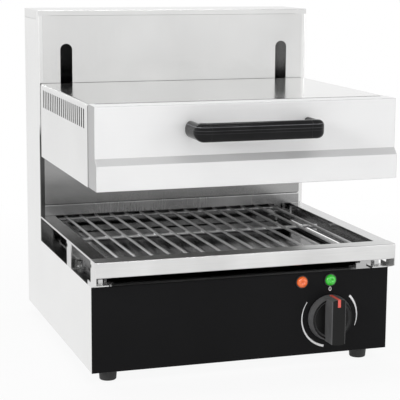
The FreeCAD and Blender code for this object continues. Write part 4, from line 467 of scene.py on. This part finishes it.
def make_node_materials():
    """Materials of single nodes, by the node's name."""
    # Hood shell: painted shadow line beside its joint with the hood's front
    brushed("hood_shell", steel(0.75), rough=0.16, axis="y", grain=0.03,
            tints=[dict(gain=0.2, place=HOOD_JOINT_SHADOW)])
    # Column front: painted shade below the hood, a painted shadow line above the splash, painted shade inside
    brushed("column_front_panel", steel(0.72), rough=0.2, axis="z", tints=[
        dict(gain=0.5, place=PANEL_SHADE_BELOW_HOOD), dict(gain=0.25, place=SPLASH_JOINT_SHADOW), shaded_inside(BACK)])
    # Covers and right panel: painted shade on the faces that look into the column
    brushed("column_cover", steel(0.74), rough=0.2, axis="x", tints=[shaded_inside(DOWN)])
    brushed("rear_cover", steel(0.8), rough=0.2, axis="z", tints=[shaded_inside(FRONT)])
    brushed("side_panel_right", steel(0.8), rough=0.2, axis="z", tints=[shaded_inside(LEFT)])
    # Left panel: painted shade inside, and on its front edge below the hood
    brushed("side_panel_left", steel(0.8), rough=0.2, axis="z", tints=[
        shaded_inside(RIGHT), dict(gain=0.1, place=EDGE_SHADE_BELOW_HOOD, facing=FRONT)])


def dress_nodes():
    """Gives each CAD node its own material, or else the one of its slot."""
    slot_of = {row["node"]: row["material_slot"] for row in frame["record"]["subparts"]}
    for name, obj in frame["nodes"].items():
        material = MATERIALS.get(name) or MATERIALS[slot_of[name]]
        for place in obj.material_slots:
            place.material = material
        if not obj.material_slots:
            obj.data.materials.append(material)


# Helpers for mesh pieces
def add_object(name, work):
    """Turns a bmesh into an object of the scene."""
    mesh = bpy.data.meshes.new(name)
    work.to_mesh(mesh)
    work.free()
    obj = bpy.data.objects.new(name, mesh)
    bpy.context.collection.objects.link(obj)
    return obj


def new_piece(name, work, slot, body=None):
    """Makes a smooth piece with the material of a slot, which rides on a body if one is given."""
    piece = add_object(name, work)
    for face in piece.data.polygons:
        face.use_smooth = True
    piece.data.materials.append(MATERIALS[slot])
    if body:
        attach(piece, body)
    return piece


def sharpen(piece, degrees):
    """Keeps edges over an angle crisp while the rest shades smoothly."""
    work = bmesh.new()
    work.from_mesh(piece.data)
    for edge in work.edges:
        if len(edge.link_faces) == 2 and edge.calc_face_angle() > math.radians(degrees):
            edge.smooth = False
    work.to_mesh(piece.data)
    work.free()


def bridge(work, low, high, steps):
    """Adds the faces between two rings, either of which may be a single point."""
    for step in range(steps):
        after = (step + 1) % steps
        if len(low) == 1:
            corners = (low[0], high[after], high[step])
        elif len(high) == 1:
            corners = (low[step], low[after], high[0])
        else:
            corners = (low[step], low[after], high[after], high[step])
        work.faces.new(corners)


def lathe(work, profile, centre, axis, steps, cut=None):
    """Turns (radius, rise) pairs round an axis, less the depth that cut(index, turn, rise) gives."""
    axis = Vector(axis)
    side = axis.orthogonal().normalized()
    other = axis.cross(side)
    rings = []
    for index, (radius, rise) in enumerate(profile):
        middle = centre + axis * rise
        if radius == 0:
            rings.append([work.verts.new(middle)])
            continue
        ring = []
        for step in range(steps):
            turn = 2 * math.pi * step / steps
            reach = radius - cut(index, turn, rise) if cut else radius
            ring.append(work.verts.new(middle + (side * math.cos(turn) + other * math.sin(turn)) * reach))
        rings.append(ring)
    for low, high in zip(rings, rings[1:]):
        bridge(work, low, high, steps)
    bmesh.ops.recalc_face_normals(work, faces=work.faces)
    return work


def groove(depth, turn):
    """Depth of a wave of grooves, which is 0 between them."""
    return depth * (0.5 - 0.5 * math.cos(turn))


# Lamp lenses: shares of the radius and of the depth along the dome, from its rim to its dimple
LENS_DOME = ((1.0, 0.0), (1.0, 0.2), (0.98, 0.34), (0.93, 0.5), (0.84, 0.68), (0.7, 0.84), (0.55, 0.95),
             (0.42, 0.985), (0.32, 0.93), (0.25, 0.78), (0.16, 0.66), (0, 0.62))
LENS_STEPS = 72
LENS_FLUTES = 18
LENS_FLUTED_RINGS = (2, 3, 4, 5)
LENS_FLUTE_DEPTH = 0.05  # share of the radius


def make_lenses():
    """Fluted lamp lenses with a dimple in the middle of the dome."""
    for name, slot in (("lamp_orange", "lens_orange"), ("lamp_green", "lens_green")):
        low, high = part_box(name)
        centre = Vector(((low[0] + high[0]) / 2, high[1], (low[2] + high[2]) / 2))
        radius = (high[0] - low[0]) / 2
        depth = high[1] - low[1]

        def flutes(index, turn, rise):
            return groove(radius * LENS_FLUTE_DEPTH, LENS_FLUTES * turn) if index in LENS_FLUTED_RINGS else 0

        profile = [(radius * across, depth * out) for across, out in LENS_DOME]
        dome = lathe(bmesh.new(), profile, centre, FRONT, LENS_STEPS, flutes)
        piece = new_piece(f"{name}_dome", dome, slot, "base")
        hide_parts(name)


# Welds of the wire grid
LONG_WIRES = 15
CROSS_RODS = 3
WIRE_INSET = 13.5 * MM  # outer wire's line from the end of a rod
WIRE_OVERHANG = 6 * MM
BEAD_RADIUS = 1.5 * MM
BEAD_SHAPE = (1.0, 1.3, 0.55)
BEAD_OFFSET = 1.7 * MM  # from the wire's line
BEAD_DROP = 3.9 * MM  # from the top of the wires
BEAD_SEGMENTS = 10
BEAD_RINGS = 6


def make_welds():
    """Small weld beads on both sides of each long wire where it crosses a rod."""
    low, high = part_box("wire_grid")
    outer = high[0] - WIRE_INSET
    pitch = 2 * outer / (LONG_WIRES - 1)
    first_rod = low[1] + WIRE_OVERHANG
    rod_pitch = (high[1] - low[1] - 2 * WIRE_OVERHANG) / (CROSS_RODS - 1)
    work = bmesh.new()
    for rod in range(CROSS_RODS):
        for wire in range(LONG_WIRES):
            for side in (-1, 1):
                place = (-outer + pitch * wire + side * BEAD_OFFSET, first_rod + rod_pitch * rod,
                         high[2] - BEAD_DROP)
                bead = bmesh.ops.create_uvsphere(work, u_segments=BEAD_SEGMENTS, v_segments=BEAD_RINGS,
                                                 radius=BEAD_RADIUS)["verts"]
                bmesh.ops.scale(work, vec=BEAD_SHAPE, verts=bead)
                bmesh.ops.translate(work, vec=place, verts=bead)
    new_piece("grid_welds", work, "chrome_wire", "wire_grid")


# Lift cables
CABLE_RINGS = 90
CABLE_STEPS = 24
CABLE_STRANDS = 6
CABLE_LAY = 4 * MM  # rise in which a strand takes the place of the next one
CABLE_GROOVE = 0.25  # share of the radius


def make_cables():
    """Twisted lift cables between the pulleys and what hangs on them."""
    for node, body in (("front_cables", "hood"), ("rear_cables", "counterweight")):
        low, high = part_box(node)
        radius = (high[1] - low[1]) / 2
        middle = (high[1] + low[1]) / 2
        length = high[2] - low[2]

        def strands(index, turn, rise):
            return groove(radius * CABLE_GROOVE, CABLE_STRANDS * turn + 2 * math.pi / CABLE_LAY * rise)

        rings = [(radius, length * i / CABLE_RINGS) for i in range(CABLE_RINGS + 1)]
        work = bmesh.new()
        for x in (low[0] + radius, high[0] - radius):
            lathe(work, [(0, 0), *rings, (0, length)], Vector((x, middle, low[2])), UP, CABLE_STEPS, strands)
        piece = new_piece(f"{node}_twisted", work, "cable_steel")
        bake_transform(piece)
        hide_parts(node)


# Harness sleeve: shares of the radius and of the pitch along one rib
SLEEVE_RIBS = 48
SLEEVE_RIB = ((0.86, 0.0), (0.88, 0.2), (0.97, 0.35), (1.0, 0.5), (0.97, 0.65), (0.88, 0.8))
SLEEVE_STEPS = 32


def make_sleeve():
    """Ribbed sleeve between the deck and the carriage."""
    low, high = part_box("harness_sleeve")
    radius = (high[0] - low[0]) / 2
    centre = Vector(((low[0] + high[0]) / 2, (low[1] + high[1]) / 2, low[2]))
    length = high[2] - low[2]
    pitch = length / SLEEVE_RIBS
    profile = [(0, 0)]
    for i in range(SLEEVE_RIBS):
        profile += [(radius * across, pitch * (i + rise)) for across, rise in SLEEVE_RIB]
    profile += [(radius * SLEEVE_RIB[0][0], length), (0, length)]
    piece = new_piece("sleeve_ribbed", lathe(bmesh.new(), profile, centre, UP, SLEEVE_STEPS), "sleeve_fabric")
    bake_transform(piece)
    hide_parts("harness_sleeve")


# Louvres of the rear cover, in four banks, with lips over them
LOUVRES = 6
LOUVRE_WIDTH = 70 * MM
LOUVRE_HEIGHT = 4 * MM
LOUVRE_PITCH = 12 * MM
LOUVRE_INSET = 125 * MM  # bank's middle from the cover's side
LOUVRE_RISE = 31 * MM  # lower banks from the cover's lower edge
LOUVRE_DROP = 107 * MM  # upper banks from the part's top
LIP_REACH = 3.2 * MM
LIP_HEIGHT = 2.6 * MM
LIP_END_DROP = 2 * MM
LIP_GAP = 0.1 * MM
LIP_SHEET = 0.8 * MM
LIP_ROWS = 6
LIP_STEPS = 8
LIP_END = 0.001  # share of the lip's size that is left at its ends


def add_lip(work, left, low, back):
    """Adds the outer face of one lip, a quarter round that closes towards the sheet at both ends."""
    rows = []
    for part in range(LIP_ROWS + 1):
        turn = math.pi / 2 * part / LIP_ROWS
        row = []
        for step in range(LIP_STEPS + 1):
            size = 1 if 0 < step < LIP_STEPS else LIP_END
            out = LIP_REACH * math.sin(turn) * size
            rise = LIP_HEIGHT * math.cos(turn) * size - LIP_END_DROP * (1 - size)
            x = left + LOUVRE_WIDTH * step / LIP_STEPS
            row.append(work.verts.new((x, back + LIP_GAP + out, low + rise)))
        rows.append(row)
    for row, after in zip(rows, rows[1:]):
        for step in range(LIP_STEPS):
            work.faces.new((row[step], row[step + 1], after[step + 1], after[step]))


def make_louvre_lips():
    """Pressed lips over the slots of the rear cover."""
    low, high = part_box("rear_cover")
    inner = high[0] - LOUVRE_INSET
    work = bmesh.new()
    for lowest in (low[2] + LOUVRE_RISE, TOP - LOUVRE_DROP):
        for middle in (-inner, inner):
            for i in range(LOUVRES):
                add_lip(work, middle - LOUVRE_WIDTH / 2, lowest + LOUVRE_PITCH * i + LOUVRE_HEIGHT, high[1])
    piece = new_piece("louvre_lips", work, "stainless", "base")
    sheet = piece.modifiers.new("thickness", "SOLIDIFY")
    sheet.thickness = LIP_SHEET
    sheet.offset = -1


# Screws of the rear cover, in two columns
SCREW_ROWS = 6
SCREW_INSET = 8 * MM  # from the cover's side
SCREW_RISE = 21 * MM  # lowest screws from the cover's lower edge
SCREW_DROP = 27 * MM  # highest screws from the part's top
SCREW_TURN = 0.6  # radians from one screw to the next
HEAD_RADIUS = 3.6 * MM
HEAD_PROFILE = ((1.0, 0), (1.0, 0.5 * MM), (0.92, 1.1 * MM), (0.7, 1.6 * MM), (0.35, 1.9 * MM),
                (0, 1.95 * MM))  # shares of the radius, and heights
HEAD_STEPS = 24
HEAD_EDGE = 35  # degrees
CROSS_LENGTH = 3.6 * MM
CROSS_WIDTH = 0.9 * MM
CROSS_HEIGHT = 2.4 * MM
CROSS_RISE = 2.2 * MM


def screw_head():
    """Mesh of one pan head with a cross recess, at the origin."""
    profile = [(HEAD_RADIUS * across, rise) for across, rise in HEAD_PROFILE]
    dome = lathe(bmesh.new(), profile, Vector((0, 0, 0)), BACK, HEAD_STEPS)
    bmesh.ops.contextual_create(dome, geom=[edge for edge in dome.edges if edge.is_boundary])
    cross = bmesh.new()
    for wide, tall in ((CROSS_LENGTH, CROSS_WIDTH), (CROSS_WIDTH, CROSS_LENGTH)):
        arm = bmesh.ops.create_cube(cross, size=1)["verts"]
        bmesh.ops.scale(cross, vec=(wide, CROSS_HEIGHT, tall), verts=arm)
        bmesh.ops.translate(cross, vec=(0, CROSS_RISE, 0), verts=arm)
    head, tool = add_object("head", dome), add_object("cross", cross)
    cut = head.modifiers.new("cut", "BOOLEAN")
    cut.object = tool
    cut.use_self = True
    cut.operation = "DIFFERENCE"
    bpy.context.view_layer.update()
    shaped = bpy.data.meshes.new_from_object(head.evaluated_get(bpy.context.evaluated_depsgraph_get()))
    for used in (head, tool):
        bpy.data.meshes.remove(used.data)  # takes its object with it
    return shaped


def make_cover_screws():
    """Pan heads on the rear cover, each turned to another angle."""
    low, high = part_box("rear_cover")
    shaped = screw_head()
    first = low[2] + SCREW_RISE
    pitch = (TOP - SCREW_DROP - first) / (SCREW_ROWS - 1)
    work = bmesh.new()
    for side in (-1, 1):
        for row in range(SCREW_ROWS):
            count = len(work.verts)
            work.from_mesh(shaped)
            work.verts.ensure_lookup_table()
            fresh = work.verts[count:]
            bmesh.ops.transform(work, matrix=Matrix.Rotation(SCREW_TURN * row + side, 4, "Y"), verts=fresh)
            place = (side * (high[0] - SCREW_INSET), high[1], first + pitch * row)
            bmesh.ops.translate(work, vec=place, verts=fresh)
    bpy.data.meshes.remove(shaped)
    piece = new_piece("cover_screw_heads", work, "screw_steel", "base")
    sharpen(piece, HEAD_EDGE)
    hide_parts("cover_screws")


# Studio: pale floor, white surroundings, soft lamps
WHITE = grey(1)
FLOOR_SIZE = 12
FLOOR_NEAR, FLOOR_FAR = 0.35, 1.2  # where the floor starts to fade to white, and where it is white
SKY_TOP = (0.66, 0.66, 0.67)
SKY_LIGHT = (0.4, 0.4, 0.41)
# Name: place, the point that it looks at, width and height in metres, watts
LAMPS = {
    "key": ((-2.5, -1.4, 1.2), (0, 0, 0.2), (0.9, 0.9), 30),
    "fill": ((2.1, -1.9, 0.9), (0, 0, 0.2), (1.2, 1.2), 10),
    "top": ((0, 0.3, 2.6), (0, 0, 0.3), (1.8, 0.35), 16),
    "strip": ((0, -1.7, 1.6), (0, -0.2, 0.35), (1.4, 0.08), 5),
}


def seen_tone(tree, other, glossy, camera):
    """A colour that differs for the camera's rays, for glossy rays and for all others."""
    rays = tree.nodes.new("ShaderNodeLightPath").outputs
    return add_mix(tree, rays["Is Camera Ray"], add_mix(tree, rays["Is Glossy Ray"], other, glossy), camera)


def make_floor():
    """Pale floor that keeps a faint shadow near the part and fades to white around it."""
    work = bmesh.new()
    bmesh.ops.create_grid(work, x_segments=1, y_segments=1, size=FLOOR_SIZE)
    floor = add_object("floor", work)
    g = Graph("floor_white")
    g.set(Base_Color=g.tint(g.noise(scale=2, detail=2), grey(0.86), grey(0.88)), Roughness=0.7,
          Specular_IOR_Level=0.1)
    distance = g.calc("LENGTH", g.coords, kind="ShaderNodeVectorMath")
    white_share = g.ramp(distance, low=0.9, high=1, start=FLOOR_NEAR, stop=FLOOR_FAR)
    share = seen_tone(g.tree, other=grey(0), glossy=grey(0.9), camera=white_share)
    mix = g.add("ShaderNodeMixShader", Fac=share)
    feed(g.tree, mix.inputs[1], g.bsdf.outputs[0])
    feed(g.tree, mix.inputs[2], g.add("ShaderNodeEmission", Strength=1).outputs[0])
    feed(g.tree, g.tree.nodes["Material Output"].inputs["Surface"], mix.outputs[0])
    floor.data.materials.append(MATERIALS["floor_white"])


def make_world():
    """White to the camera, white to slightly grey overhead in reflections, and dimmer as light."""
    world = bpy.data.worlds.new("studio")
    world.use_nodes = True
    bpy.context.scene.world = world
    tree = world.node_tree
    split = tree.nodes.new("ShaderNodeSeparateXYZ")
    feed(tree, split.inputs[0], tree.nodes.new("ShaderNodeTexCoord").outputs["Generated"])
    sky = add_ramp(tree, split.outputs["Z"], WHITE, SKY_TOP, start=0.25, stop=0.9)
    background = tree.nodes["Background"]
    feed(tree, background.inputs["Color"], seen_tone(tree, other=SKY_LIGHT, glossy=sky, camera=WHITE))
    feed(tree, background.inputs["Strength"], 1)


def make_lamps():
    """Soft rectangular lamps."""
    for name, (place, target, size, watts) in LAMPS.items():
        data = bpy.data.lights.new(name, "AREA")
        data.shape = "RECTANGLE"
        data.size, data.size_y = size
        data.energy = watts
        lamp = bpy.data.objects.new(name, data)
        lamp.location = place
        lamp.rotation_euler = (Vector(target) - Vector(place)).to_track_quat("-Z", "Y").to_euler()
        bpy.context.collection.objects.link(lamp)


make_camera()
make_metals()
make_other_materials()
make_node_materials()
dress_nodes()
make_lenses()
make_welds()
make_cables()
make_sleeve()
make_louvre_lips()
make_cover_screws()
make_floor()
make_world()
make_lamps()
